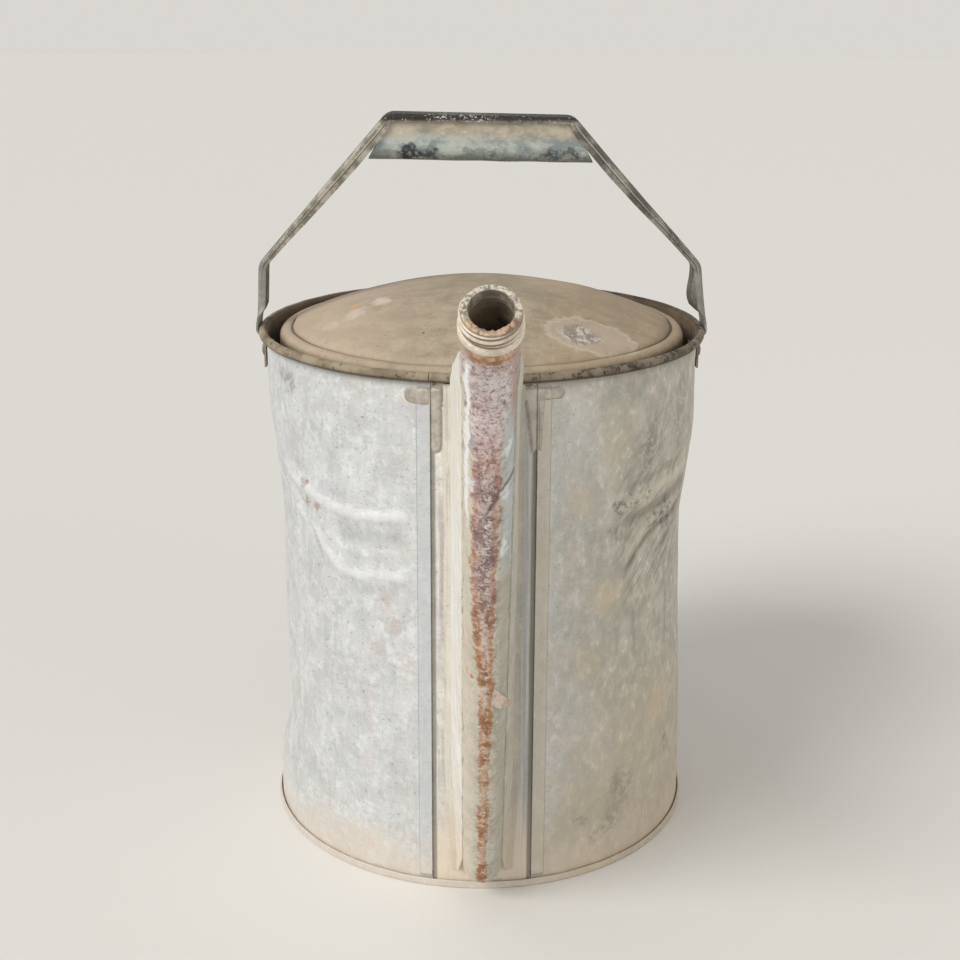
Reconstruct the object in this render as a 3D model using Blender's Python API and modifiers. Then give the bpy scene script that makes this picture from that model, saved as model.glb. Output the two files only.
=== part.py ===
"""Galvanised steel watering can with a half hood, a long soldered spout and a fixed strap handle.

Units are metres with +Z up. The can stands on z = 0 and its spout points along -Y.
Angles round the body are measured from the front, positive towards +X.
"""

import math

import bmesh
import bpy
from mathutils import Matrix, Vector

# Sheet and fits
SHEET = 0.0008
STRAP_SHEET = 0.0012
GAP = 0.0003

# Body
RIM_HEIGHT = 0.303
RIM_RADIUS = 0.1292
BODY_TAPER = 0.0013
WIRE_RADIUS = 0.0013
WIRE_CLEARANCE = 0.0005
ROUND_STEPS = 60
CURL_STEPS = 6
CURL_END = math.radians(-75)

# Bottom pan
PAN_RECESS = 0.006
PAN_CLEARANCE = 0.0013
HEM_HEIGHT = 0.0045

# Seams and front panel
SEAM_HALF_SPACING = 0.028
BAND_WIDTH = 0.0065
JOGGLE_RUN = 0.0012
BAND_INSET = 0.009
STRAINER_HOLE_RADIUS = 0.0023
STRAINER_PITCH = 0.0062
STRAINER_RING_COUNT = 6

# Solder patches
SOLDER_THICKNESS = 0.0006
SOLDER_DROP = 0.0075
SOLDER_TAB = (0.0148, 0.0078)
SOLDER_STRIP = (0.0052, 0.034)

# Hood
HOOD_RISE = 0.027
HOOD_MARGIN = 0.0112
STEP_INSET = 0.0055
STEP_DROP = 0.0012
TROUGH_DEPTH = 0.0185
HOOD_LIP = 0.005
HOOD_REAR_EDGE = 0.065
HOOD_HEM = 0.004

# Spout
TUBE_RADIUS = 0.01075
TUBE_WALL = 0.0008
HEEL_HEIGHT = 0.021
HEEL_BEND = 0.014
HEEL_STUB = 0.0035
SPOUT_SLOPE = math.radians(64.7)
SPOUT_STRAIGHT = 0.341
MOUTH_SLOPE = math.radians(47)
MOUTH_BEND = 0.079
MOUTH_STRAIGHT = 0.022
TUBE_SIDES = 14
SLEEVE_LENGTH = 0.008
SLEEVE_WALL = 0.0011
RING_HEIGHT = 0.013
RING_SOCKET = 0.006
RING_BORE = 0.0090
RING_OUTER = 0.01185
COLLAR_OUTER = 0.0132
COLLAR_HEIGHT = 0.0032
THREAD_HEIGHT = 0.0007
THREAD_COUNT = 2

# Gussets
GUSSET_HALF_WIDTH = 0.0172
GUSSET_FOOT_HALF_WIDTH = 0.0145
GUSSET_FOOT_HEIGHT = 0.05
GUSSET_FLANGE = 0.004
GUSSET_BOTTOM = 0.012
GUSSET_ROWS = 10
GUSSET_NECK = 0.335

# Strap handle and grip
HANDLE_TOP = 0.4265
LEG_LEAN = 0.0038
LOWER_BEND_HEIGHT = 0.341
UPPER_BEND_HALF_SPAN = 0.0535
FOOT_LENGTH = 0.0185
STRAP_WRAP = math.radians(60)
STRAP_HALF_WIDTH_TOP = 0.011
STRAP_HALF_WIDTH_LEG = 0.0085
FLANGE_TOP = 0.0032
FLANGE_ARM = 0.0066
FLANGE_LEG = 0.0040
FLANGE_FOOT = 0.0025
FOLD_START = 0.005
FOLD_RUN = 0.009
GRIP_DEPTH = 0.0258
GRIP_HALF_LENGTH = 0.052
GRIP_END_SLOPE = 0.52

# Rear handle
REAR_HANDLE_TOP = 0.222
REAR_HANDLE_DROP = 0.150
REAR_HANDLE_REACH = 0.040
REAR_HANDLE_HALF_WIDTH = 0.012
REAR_FOOT_LENGTH = 0.024

# Rivets
RIVET_RADIUS = 0.0019
RIVET_HEAD_RADIUS = 0.0038
RIVET_HEAD_HEIGHT = 0.0014
RIVET_SPACING = 0.0064
RIVET_STEPS = 8

# Dents in the body: centre angle, half spread, then where each fades in, is full and fades out,
# as shares of the body's height, and how deep it is
SIDE_DENTS = (
    (math.radians(-88), math.radians(46), 0.079, 0.211, 0.653, 0.914, 0.0069),
    (math.radians(82), math.radians(42), 0.099, 0.620, 0.627, 0.825, 0.0056),
    (math.radians(47), math.radians(13), 0.280, 0.594, 0.677, 0.733, 0.0034),
)
DENT_CLEAR_ANGLE = math.radians(17)

BASE_RADIUS = RIM_RADIUS - BODY_TAPER
HOOD_RADIUS = RIM_RADIUS - HOOD_MARGIN
STEP_RADIUS = HOOD_RADIUS - STEP_INSET
CURL_RADIUS = WIRE_RADIUS + WIRE_CLEARANCE + SHEET / 2
JOGGLE = SHEET + GAP
WALL_TOP_RADIUS = RIM_RADIUS - CURL_RADIUS
WALL_BOTTOM = SHEET + GAP
SEAM_ANGLE = math.asin(SEAM_HALF_SPACING / WALL_TOP_RADIUS)
BAND_ANGLE = BAND_WIDTH / WALL_TOP_RADIUS
JOGGLE_ANGLE = JOGGLE_RUN / WALL_TOP_RADIUS
BEAD_OUTER = CURL_RADIUS + SHEET / 2
HOOD_FLOOR = RIM_HEIGHT - TROUGH_DEPTH
WRAP_RADIUS = BEAD_OUTER + GAP + STRAP_SHEET / 2
STRAP_X = RIM_RADIUS + WRAP_RADIUS
FOOT_X = WALL_TOP_RADIUS + SHEET / 2 + GAP + STRAP_SHEET / 2


def smooth_step(value, low, high):
    share = min(max((value - low) / (high - low), 0.0), 1.0)
    return share * share * (3 - 2 * share)


def wall_radius(z):
    """Middle of the body's sheet at height z, before the dents."""
    return BASE_RADIUS + (WALL_TOP_RADIUS - BASE_RADIUS) * z / RIM_HEIGHT


def turned(radius, z, angle):
    return Vector((radius * math.sin(angle), -radius * math.cos(angle), z))


def angle_of(point):
    return math.atan2(point.x, -point.y)


def dent_depth(angle, z):
    """How far the body's sheet is pushed in at this angle and height."""
    depth = 0.0
    for centre, spread, low, full, hold, high, deepest in SIDE_DENTS:
        share = max(0.0, 1 - ((angle - centre) / spread) ** 2) ** 2
        up = z / RIM_HEIGHT
        depth += deepest * share * smooth_step(up, low, full) * (1 - smooth_step(up, hold, high))
    return depth * smooth_step(abs(angle), DENT_CLEAR_ANGLE, DENT_CLEAR_ANGLE + BAND_ANGLE * 3)


def arc(centre, radius, start, end, steps):
    """Points of a circle in a plane, from angle start to angle end."""
    turns = [start + (end - start) * i / steps for i in range(steps + 1)]
    return [(centre[0] + radius * math.cos(a), centre[1] + radius * math.sin(a)) for a in turns]


def rounded_path(corners, radii, steps):
    """A path in a plane through corners, with an arc of the given radius at each inner one."""
    points = [Vector(corners[0])]
    for before, corner, after, radius in zip(corners, corners[1:], corners[2:], radii):
        corner = Vector(corner)
        back = (Vector(before) - corner).normalized()
        on = (Vector(after) - corner).normalized()
        half = back.angle(on) / 2
        reach = radius / math.tan(half)
        centre = corner + (back + on).normalized() * radius / math.sin(half)
        first = corner + back * reach - centre
        last = corner + on * reach - centre
        turn = first.angle_signed(last)
        for i in range(steps + 1):
            points.append(centre + Matrix.Rotation(-turn * i / steps, 2) @ first)
    points.append(Vector(corners[-1]))
    return points


def make_material(name, colour, roughness, metallic):
    material = bpy.data.materials.new(name)
    material.use_nodes = True
    shader = material.node_tree.nodes["Principled BSDF"]
    shader.inputs["Base Color"].default_value = (*colour, 1.0)
    shader.inputs["Roughness"].default_value = roughness
    shader.inputs["Metallic"].default_value = metallic
    return material


def add_object(name, bm, material, collection="watering_can"):
    """Puts a bmesh in the scene as one smooth shaded object, standing on the can's axis."""
    mesh = bpy.data.meshes.new(name)
    bm.to_mesh(mesh)
    bm.free()
    mesh.shade_smooth()
    mesh.set_sharp_from_angle(angle=math.radians(35))
    obj = bpy.data.objects.new(name, mesh)
    bpy.data.collections[collection].objects.link(obj)
    obj.parent = bpy.data.objects["can_axis"]
    if material:
        mesh.materials.append(material)
    return obj


def give_thickness(obj, thickness):
    solid = obj.modifiers.new("Sheet", "SOLIDIFY")
    solid.thickness = thickness
    solid.offset = 0
    solid.use_even_offset = True
    return obj


def cut_with(obj, cutter):
    cut = obj.modifiers.new("Holes", "BOOLEAN")
    cut.operation = "DIFFERENCE"
    cut.solver = "EXACT"
    cut.object = cutter


def spun(profile, start, sweeps, whole=False):
    """A surface turned about Z from (radius, z) points, in sweeps of (angle, steps)."""
    bm = bmesh.new()
    verts = [bm.verts.new(turned(radius, z, start)) for radius, z in profile]
    geom = verts + [bm.edges.new(pair) for pair in zip(verts, verts[1:])]
    for angle, steps in sweeps:
        spin = bmesh.ops.spin(
            bm, geom=geom, axis=(0, 0, 1), angle=angle, steps=steps, use_merge=whole
        )
        geom = spin["geom_last"]
    bmesh.ops.remove_doubles(bm, verts=bm.verts, dist=1e-6)
    return bm


def lofted(sections):
    """An open surface through sections that have the same number of points."""
    bm = bmesh.new()
    rows = [[bm.verts.new(point) for point in section] for section in sections]
    for row, after in zip(rows, rows[1:]):
        for i in range(len(row) - 1):
            bm.faces.new((row[i], row[i + 1], after[i + 1], after[i]))
    return bm


def curl_profile():
    """The sheet's turn over the wire, from the wall over the top to its outer lower edge."""
    return arc((RIM_RADIUS, RIM_HEIGHT), CURL_RADIUS, math.pi, CURL_END, CURL_STEPS)


def wall_heights():
    """Heights of the wall's rows, closer together where the seam bands and dents need it."""
    low = [WALL_BOTTOM, 0.005, BAND_INSET - GAP * 3]
    shares = (0.083, 0.198, 0.330, 0.479, 0.601, 0.677, 0.743, 0.825, 0.914)
    middle = [RIM_HEIGHT * share for share in shares]
    high = [RIM_HEIGHT - BAND_INSET - GAP * 3, RIM_HEIGHT - 0.005]
    return low + middle + high


def band_share(z):
    """1 where the seam bands stand out over the front panel's edges, 0 by the rim and the hem."""
    inset = BAND_INSET - GAP * 3
    low = smooth_step(z, 0.005, inset)
    return low * (1 - smooth_step(z, RIM_HEIGHT - inset, RIM_HEIGHT - 0.005))


def body_wall(material):
    profile = [(wall_radius(z), z) for z in wall_heights()] + curl_profile()
    around = 2 * math.pi - 2 * (SEAM_ANGLE + BAND_ANGLE + JOGGLE_ANGLE)
    ends = [(BAND_ANGLE, 1), (JOGGLE_ANGLE, 1)]
    bm = spun(profile, SEAM_ANGLE, ends + [(around, ROUND_STEPS - 5)] + ends[::-1])
    band_end = SEAM_ANGLE + BAND_ANGLE + JOGGLE_ANGLE / 2
    for vert in bm.verts:
        angle = angle_of(vert.co)
        shift = -dent_depth(angle, vert.co.z)
        if abs(angle) < band_end:
            shift += JOGGLE * band_share(vert.co.z)
        vert.co += turned(shift, 0, angle)
    return give_thickness(add_object("body_wall", bm, material), SHEET)


def front_panel(material):
    wing_low = BAND_INSET
    wing_high = RIM_HEIGHT - BAND_INSET
    heights = [WALL_BOTTOM, wing_low, RIM_HEIGHT * 0.14, RIM_HEIGHT * 0.5, wing_high]
    profile = [(wall_radius(z), z) for z in heights] + curl_profile()
    inner = SEAM_ANGLE - GAP / WALL_TOP_RADIUS
    wing = BAND_ANGLE + GAP / WALL_TOP_RADIUS - JOGGLE_ANGLE / 2
    bm = spun(profile, -inner - wing, [(wing, 1), (2 * inner, 6), (wing, 1)])
    beyond = [
        face
        for face in bm.faces
        if abs(angle_of(face.calc_center_median())) > inner
        and not wing_low < face.calc_center_median().z < wing_high
    ]
    bmesh.ops.delete(bm, geom=beyond, context="FACES")
    return give_thickness(add_object("front_panel", bm, material), SHEET)


def rim_wire(material):
    bpy.ops.mesh.primitive_torus_add(
        major_radius=RIM_RADIUS,
        minor_radius=WIRE_RADIUS,
        major_segments=ROUND_STEPS,
        minor_segments=6,
        location=(0, 0, RIM_HEIGHT),
    )
    return adopt(bpy.context.object, "rim_wire", material)


def adopt(obj, name, material):
    """Names a primitive and moves it to the can's own collection."""
    obj.name = name
    for collection in list(obj.users_collection):
        collection.objects.unlink(obj)
    bpy.data.collections["watering_can"].objects.link(obj)
    obj.parent = bpy.data.objects["can_axis"]
    obj.data.materials.append(material)
    obj.data.shade_smooth()
    return obj


def bottom_pan(material):
    inner = BASE_RADIUS - PAN_CLEARANCE - SHEET
    outer = BASE_RADIUS + PAN_CLEARANCE + SHEET / 2
    fold = SHEET * 0.9
    low = SHEET / 2
    profile = [(0, PAN_RECESS), (inner - fold, PAN_RECESS), (inner, PAN_RECESS - fold)]
    profile += [(inner, low + fold), (inner + fold, low), (outer - fold, low)]
    profile += [(outer, low + fold), (outer, HEM_HEIGHT)]
    bm = spun(profile, 0, [(2 * math.pi, ROUND_STEPS)], whole=True)
    return give_thickness(add_object("bottom_pan", bm, material), SHEET)


def hood_height(radius):
    """The dome's height at a radius, as a cap of a sphere over the rim."""
    sphere = (HOOD_RADIUS**2 + HOOD_RISE**2) / (2 * HOOD_RISE)
    return RIM_HEIGHT + HOOD_RISE - sphere + math.sqrt(sphere**2 - radius**2)


def hood(material):
    lip_radius = wall_radius(HOOD_FLOOR) - SHEET - GAP * 2
    radii = [STEP_RADIUS * share for share in (0, 0.36, 0.69)] + [STEP_RADIUS - 0.0015]
    profile = [(r, hood_height(r)) for r in radii]
    profile.append((STEP_RADIUS, hood_height(STEP_RADIUS) - STEP_DROP))
    shoulder = HOOD_RADIUS + 0.0012
    turn = 0.005
    centre = (shoulder - turn, hood_height(STEP_RADIUS) - STEP_DROP - turn * 0.9)
    profile += arc(centre, turn, math.radians(62), 0, 2)
    fillet = 0.0025
    profile += [(shoulder, HOOD_FLOOR + fillet), (shoulder + fillet * 0.6, HOOD_FLOOR)]
    profile += [(lip_radius - fillet * 0.6, HOOD_FLOOR), (lip_radius, HOOD_FLOOR - fillet * 0.6)]
    profile.append((lip_radius, HOOD_FLOOR - HOOD_LIP))
    bm = spun(profile, 0, [(2 * math.pi, ROUND_STEPS)], whole=True)
    bmesh.ops.bisect_plane(
        bm,
        geom=bm.verts[:] + bm.edges[:] + bm.faces[:],
        plane_co=(0, HOOD_REAR_EDGE, 0),
        plane_no=(0, 1, 0),
        clear_outer=True,
    )
    hem = [
        edge
        for edge in bm.edges
        if edge.is_boundary
        and all(abs(v.co.y - HOOD_REAR_EDGE) < 1e-6 for v in edge.verts)
        and all(v.co.xy.length < STEP_RADIUS + 1e-6 for v in edge.verts)
    ]
    made = bmesh.ops.extrude_edge_only(bm, edges=hem)["geom"]
    turned_down = [item for item in made if isinstance(item, bmesh.types.BMVert)]
    bmesh.ops.translate(bm, verts=turned_down, vec=(0, HOOD_HEM * 0.25, -HOOD_HEM))
    bmesh.ops.recalc_face_normals(bm, faces=bm.faces)
    return give_thickness(add_object("hood", bm, material), SHEET)


def heel_face():
    """Y of the tube's open heel, against the front panel."""
    return -(wall_radius(HEEL_HEIGHT) + SHEET / 2 + GAP)


def spout_point(z):
    """The straight stretch's centre at height z, as (y, z); at the heel it is the bend's corner."""
    corner_y = heel_face() - HEEL_STUB - HEEL_BEND * math.tan(SPOUT_SLOPE / 2)
    return Vector((corner_y - (z - HEEL_HEIGHT) / math.tan(SPOUT_SLOPE), z))


def spout_route():
    """The tube's centre line as (y, z) points, from its heel at the panel up to its mouth."""
    along = Vector((-math.cos(SPOUT_SLOPE), math.sin(SPOUT_SLOPE)))
    heel = spout_point(HEEL_HEIGHT)
    bend = heel + along * (HEEL_BEND * math.tan(SPOUT_SLOPE / 2) + SPOUT_STRAIGHT)
    reach = MOUTH_BEND * math.tan((SPOUT_SLOPE - MOUTH_SLOPE) / 2)
    out = Vector((-math.cos(MOUTH_SLOPE), math.sin(MOUTH_SLOPE)))
    bend += along * reach
    mouth = bend + out * (reach + MOUTH_STRAIGHT)
    corners = [(heel_face(), HEEL_HEIGHT), heel, bend, mouth]
    return rounded_path(corners, (HEEL_BEND, MOUTH_BEND), 5)


def spout_tube(material):
    curve = bpy.data.curves.new("spout_route", "CURVE")
    curve.dimensions = "3D"
    curve.bevel_depth = TUBE_RADIUS - TUBE_WALL / 2
    curve.bevel_resolution = (TUBE_SIDES - 4) // 2
    curve.use_fill_caps = False
    spline = curve.splines.new("POLY")
    route = spout_route()
    spline.points.add(len(route) - 1)
    for point, (y, z) in zip(spline.points, route):
        point.co = (0, y, z, 1)
    guide = bpy.data.objects.new("spout_route", curve)
    bpy.context.scene.collection.objects.link(guide)
    graph = bpy.context.evaluated_depsgraph_get()
    mesh = bpy.data.meshes.new_from_object(guide.evaluated_get(graph))
    bpy.data.objects.remove(guide)
    bm = bmesh.new()
    bm.from_mesh(mesh)
    bpy.data.meshes.remove(mesh)
    bmesh.ops.remove_doubles(bm, verts=bm.verts, dist=1e-6)
    return give_thickness(add_object("spout_tube", bm, material), TUBE_WALL)


def turned_piece(name, profile, steps, material):
    """A closed solid turned about its own Z by a Screw modifier."""
    bm = bmesh.new()
    verts = [bm.verts.new((radius, 0, z)) for radius, z in profile]
    closed = profile[0][0] > 0
    for pair in zip(verts, verts[1:] + verts[:1] if closed else verts[1:]):
        bm.edges.new(pair)
    obj = add_object(name, bm, material)
    screw = obj.modifiers.new("Turn", "SCREW")
    screw.steps = steps
    screw.render_steps = steps
    screw.use_merge_vertices = True
    screw.merge_threshold = 1e-5
    screw.use_smooth_shade = True
    return obj


def set_on_spout(obj, back):
    """Stands a turned piece on the spout's axis, its base this far back from the tube's mouth."""
    mouth_y, mouth_z = spout_route()[-1]
    out = Vector((0, -math.cos(MOUTH_SLOPE), math.sin(MOUTH_SLOPE)))
    obj.location = Vector((0, mouth_y, mouth_z)) - out * back
    obj.rotation_euler = (math.pi / 2 - MOUTH_SLOPE, 0, 0)


def spout_ring(material):
    """Threaded ring: a socket for the tube below, a collar, thread ridges and a plain bore."""
    socket = TUBE_RADIUS + GAP
    lip = RING_HEIGHT
    outline = [(RING_BORE, lip), (RING_OUTER - 0.0004, lip), (RING_OUTER, lip - 0.0005)]
    pitch = (lip - COLLAR_HEIGHT - 0.0022) / THREAD_COUNT
    for i in range(THREAD_COUNT):
        top = lip - 0.0018 - i * pitch
        outline += [(RING_OUTER, top), (RING_OUTER + THREAD_HEIGHT, top - pitch * 0.25)]
        outline += [(RING_OUTER + THREAD_HEIGHT, top - pitch * 0.45), (RING_OUTER, top - pitch * 0.7)]
    outline += [(RING_OUTER, COLLAR_HEIGHT + 0.0004), (COLLAR_OUTER, COLLAR_HEIGHT)]
    outline += [(COLLAR_OUTER, 0.0004), (COLLAR_OUTER - 0.0004, 0)]
    outline += [(socket, 0), (socket, RING_SOCKET), (RING_BORE, RING_SOCKET + 0.0004)]
    ring = turned_piece("spout_ring", outline, 24, material)
    set_on_spout(ring, RING_SOCKET - GAP)
    return ring


def spout_sleeve(material):
    inner = TUBE_RADIUS + GAP
    outer = inner + SLEEVE_WALL
    outline = [(inner, 0), (outer, 0), (outer, -SLEEVE_LENGTH + 0.0008)]
    outline += [(outer - 0.0006, -SLEEVE_LENGTH), (inner, -SLEEVE_LENGTH)]
    sleeve = turned_piece("spout_sleeve", outline, 20, material)
    set_on_spout(sleeve, RING_SOCKET)
    return sleeve


def gusset(name, side, material):
    """One splayed face of the spout's support, with a flange on the panel and a closed top."""
    low, high = spout_point(HEEL_HEIGHT + HEEL_BEND * 0.6), spout_point(GUSSET_NECK)
    crest_x = TUBE_RADIUS + GAP + SHEET / 2
    top_base = RIM_HEIGHT - BEAD_OUTER - GAP - SHEET
    sections = []
    for i in range(GUSSET_ROWS + 1):
        share = i / GUSSET_ROWS
        base_z = GUSSET_BOTTOM + (top_base - GUSSET_BOTTOM) * share
        crest = low.lerp(high, share)
        half = GUSSET_FOOT_HALF_WIDTH + (GUSSET_HALF_WIDTH - GUSSET_FOOT_HALF_WIDTH) * smooth_step(
            base_z, GUSSET_BOTTOM, GUSSET_BOTTOM + GUSSET_FOOT_HEIGHT
        )
        face_radius = wall_radius(base_z) + SHEET + GAP
        edge = []
        for x in (half + GUSSET_FLANGE, half + SHEET, half):
            y = -math.sqrt(face_radius**2 - x**2)
            edge.append(Vector((side * x, y, base_z)))
        edge[-1].y -= SHEET
        crest_point = Vector((side * crest_x, crest.x, crest.y))
        run = crest_point - edge[-1]
        behind = 1 - min(0.6, (TUBE_RADIUS + 4 * SHEET) / run.length)
        for part in (0.35, 0.7):
            edge.append(edge[2] + run * (part * behind))
        edge.append(edge[2] + run * behind)
        edge.append(crest_point)
        sections.append(edge)
    bm = lofted(sections)
    bm.verts.ensure_lookup_table()
    width = len(sections[0])
    top_row = bm.verts[-width:]
    closing = top_row[2:-1]
    nearest = -(wall_radius(top_base) + 2 * SHEET + GAP)
    inner = [bm.verts.new((side * GAP / 2, min(v.co.y, nearest), v.co.z)) for v in closing]
    for i in range(len(closing) - 1):
        bm.faces.new((closing[i], closing[i + 1], inner[i + 1], inner[i]))
    bmesh.ops.recalc_face_normals(bm, faces=bm.faces)
    return give_thickness(add_object(name, bm, material), SHEET)


def seam_solder(name, side, material):
    """An L shaped patch over the top of a seam, following the lap band under it."""
    tab_length, tab_height = SOLDER_TAB
    strip_width, strip_height = SOLDER_STRIP
    top = RIM_HEIGHT - SOLDER_DROP
    across = [-strip_width, 0.0002, BAND_WIDTH, BAND_WIDTH + 2 * JOGGLE_RUN, tab_length]
    heights = [top - strip_height, top - tab_height * 2, top - tab_height, top]
    stand_off = SHEET / 2 + GAP + SOLDER_THICKNESS / 2
    sections = []
    for z in heights:
        row = []
        for s in across:
            lifted = JOGGLE if s < BAND_WIDTH + JOGGLE_RUN * 2.5 else 0
            radius = wall_radius(z) + stand_off + lifted
            row.append(turned(radius, z, side * (SEAM_ANGLE + s / radius)))
        sections.append(row)
    bm = lofted(sections)
    keep_angle = SEAM_ANGLE + 0.0003 / WALL_TOP_RADIUS
    extra = [
        face
        for face in bm.faces
        if face.calc_center_median().z < top - tab_height
        and abs(angle_of(face.calc_center_median())) > keep_angle
    ]
    bmesh.ops.delete(bm, geom=extra, context="FACES")
    corners = [v for v in bm.verts if len(v.link_edges) == 2]
    bmesh.ops.bevel(
        bm, geom=corners, offset=0.0016, affect="VERTICES", segments=2, profile=0.5, material=-1
    )
    bmesh.ops.recalc_face_normals(bm, faces=bm.faces)
    return give_thickness(add_object(name, bm, material), SOLDER_THICKNESS)


def strap_surface(path, section_of):
    """A sheet swept along a path in the XZ plane; a section is (half width, flange, fold angle)."""
    sections = []
    for i, point in enumerate(path):
        before = path[max(i - 1, 0)]
        after = path[min(i + 1, len(path) - 1)]
        along = (after - before).normalized()
        inward = Vector((-along.y, along.x))
        half, flange, fold = section_of(i)
        spread = half + flange * math.cos(fold)
        drop = flange * math.sin(fold)
        tip = point + inward * drop
        row = [(tip.x, -spread, tip.y), (point.x, -half, point.y)]
        row += [(point.x, half, point.y), (tip.x, spread, tip.y)]
        sections.append(row)
    return lofted(sections)


def handle_path():
    """The strap's middle line as (x, z) points, from the right foot over the top to the left."""
    wrap_z = RIM_HEIGHT - WRAP_RADIUS * math.tan(STRAP_WRAP / 2)
    foot_z = wrap_z - (STRAP_X - FOOT_X) / math.tan(STRAP_WRAP)
    side = [(FOOT_X, foot_z - FOOT_LENGTH), (FOOT_X, foot_z), (STRAP_X, wrap_z)]
    side += [(STRAP_X - LEG_LEAN, LOWER_BEND_HEIGHT), (UPPER_BEND_HALF_SPAN, HANDLE_TOP)]
    corners = side + [(-x, z) for x, z in reversed(side)]
    radii = (0.0015, WRAP_RADIUS, 0.010, 0.009, 0.009, 0.010, WRAP_RADIUS, 0.0015)
    return rounded_path(corners, radii, 3)


def with_heights(path, heights):
    """The same path with a point added wherever it passes one of the heights."""
    points = []
    for start, end in zip(path, path[1:]):
        points.append(start)
        passed = [z for z in heights if (z - start.y) * (z - end.y) < 0]
        shares = sorted((z - start.y) / (end.y - start.y) for z in passed)
        points += [start.lerp(end, share) for share in shares]
    return points + [path[-1]]


def handle_strap(material):
    """Channel over the arms and the top, opened flat where its feet pass the rim."""
    fold_start = RIM_HEIGHT + FOLD_START
    fold_end = fold_start + FOLD_RUN
    arm_middle = (LOWER_BEND_HEIGHT + HANDLE_TOP - GRIP_DEPTH) / 2
    path = with_heights(handle_path(), (fold_start, (fold_start + fold_end) / 2, fold_end, arm_middle))

    def section_of(i):
        z = path[i].y
        rise = smooth_step(z, LOWER_BEND_HEIGHT, HANDLE_TOP - GRIP_DEPTH)
        half = STRAP_HALF_WIDTH_LEG + (STRAP_HALF_WIDTH_TOP - STRAP_HALF_WIDTH_LEG) * rise
        folded = smooth_step(z, fold_start, fold_end)
        flange = FLANGE_LEG + (FLANGE_ARM - FLANGE_LEG) * rise
        if abs(path[i].x) < UPPER_BEND_HALF_SPAN:
            flange = FLANGE_TOP
        flange = FLANGE_FOOT + (flange - FLANGE_FOOT) * folded
        return half, flange, folded * math.pi / 2

    bm = strap_surface(path, section_of)
    bmesh.ops.recalc_face_normals(bm, faces=bm.faces)
    return give_thickness(add_object("handle_strap", bm, material), STRAP_SHEET)


def grip_sheath(material):
    """Boat shaped grip: a folded sheet inside the strap's channel, round below, with sloped ends."""
    half = STRAP_HALF_WIDTH_TOP - STRAP_SHEET / 2 - GAP * 2 - SHEET / 2
    top = HANDLE_TOP - STRAP_SHEET / 2 - GAP - SHEET
    bottom = HANDLE_TOP - GRIP_DEPTH
    side = [(half, top), (half, bottom + 0.0085), (half * 0.86, bottom + 0.0035)]
    side += [(half * 0.5, bottom + 0.0007)]
    section = side + [(0, bottom)] + [(-y, z) for y, z in reversed(side)]
    sections = []
    for share in (-1, -0.5, 0, 0.5, 1):
        row = []
        for y, z in section:
            reach = GRIP_HALF_LENGTH + (top - z) * GRIP_END_SLOPE
            row.append((share * reach, y, z))
        sections.append(row)
    bm = lofted(sections)
    return give_thickness(add_object("grip_sheath", bm, material), SHEET)


def rear_handle(material):
    """Strap loop on the back of the body, its feet following the wall."""
    middle = REAR_HANDLE_TOP - REAR_HANDLE_DROP / 2
    stand_off = SHEET / 2 + GAP + STRAP_SHEET / 2
    half_drop = REAR_HANDLE_DROP / 2
    corners = []
    for sign in (1, -1):
        foot = middle + sign * half_drop
        knee = foot - sign * REAR_FOOT_LENGTH
        grip = knee - sign * REAR_HANDLE_REACH * 0.32
        side = [(wall_radius(foot) + stand_off, foot), (wall_radius(knee) + stand_off, knee)]
        side.append((wall_radius(grip) + REAR_HANDLE_REACH, grip))
        corners += side if sign > 0 else side[::-1]
    path = rounded_path(corners, (0.004, 0.010, 0.010, 0.004), 3)
    sections = []
    for y, z in path:
        near = 1 - smooth_step(y, wall_radius(z) + stand_off, wall_radius(z) + stand_off + 0.004)
        row = []
        for x in (-1, 0, 1):
            offset = x * REAR_HANDLE_HALF_WIDTH
            sag = wall_radius(z) - math.sqrt(wall_radius(z) ** 2 - offset**2)
            row.append((offset, y - sag * near, z))
        sections.append(row)
    bm = lofted(sections)
    bmesh.ops.recalc_face_normals(bm, faces=bm.faces)
    return give_thickness(add_object("rear_handle", bm, material), STRAP_SHEET)


def rivet_places():
    """Name, place on the wall's outside, outward direction and reach to the head of each rivet."""
    foot_end = min(point.y for point in handle_path())
    z = foot_end + FOOT_LENGTH * 0.55
    places = []
    for side, word in ((-1, "left"), (1, "right")):
        for end, place in ((-1, "front"), (1, "rear")):
            y = end * RIVET_SPACING
            x = math.sqrt((wall_radius(z) + SHEET / 2) ** 2 - y**2)
            reach = FOOT_X + STRAP_SHEET / 2 + GAP - x
            places.append((f"{word}_foot_rivet_{place}", (side * x, y, z), (side, 0), reach))
    middle = REAR_HANDLE_TOP - REAR_HANDLE_DROP / 2
    for sign, word in ((1, "upper"), (-1, "lower")):
        z = middle + sign * (REAR_HANDLE_DROP / 2 - REAR_FOOT_LENGTH * 0.42)
        for side, place in ((-1, "left"), (1, "right")):
            x = side * RIVET_SPACING
            y = math.sqrt((wall_radius(z) + SHEET / 2) ** 2 - x**2)
            reach = GAP * 2.4 + STRAP_SHEET
            places.append((f"rear_{word}_rivet_{place}", (x, y, z), (0, 1), reach))
    return places


def facing(direction):
    """Turns a piece's own +Z to a level direction."""
    return (math.pi / 2, 0, math.atan2(direction[0], -direction[1]))


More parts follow.
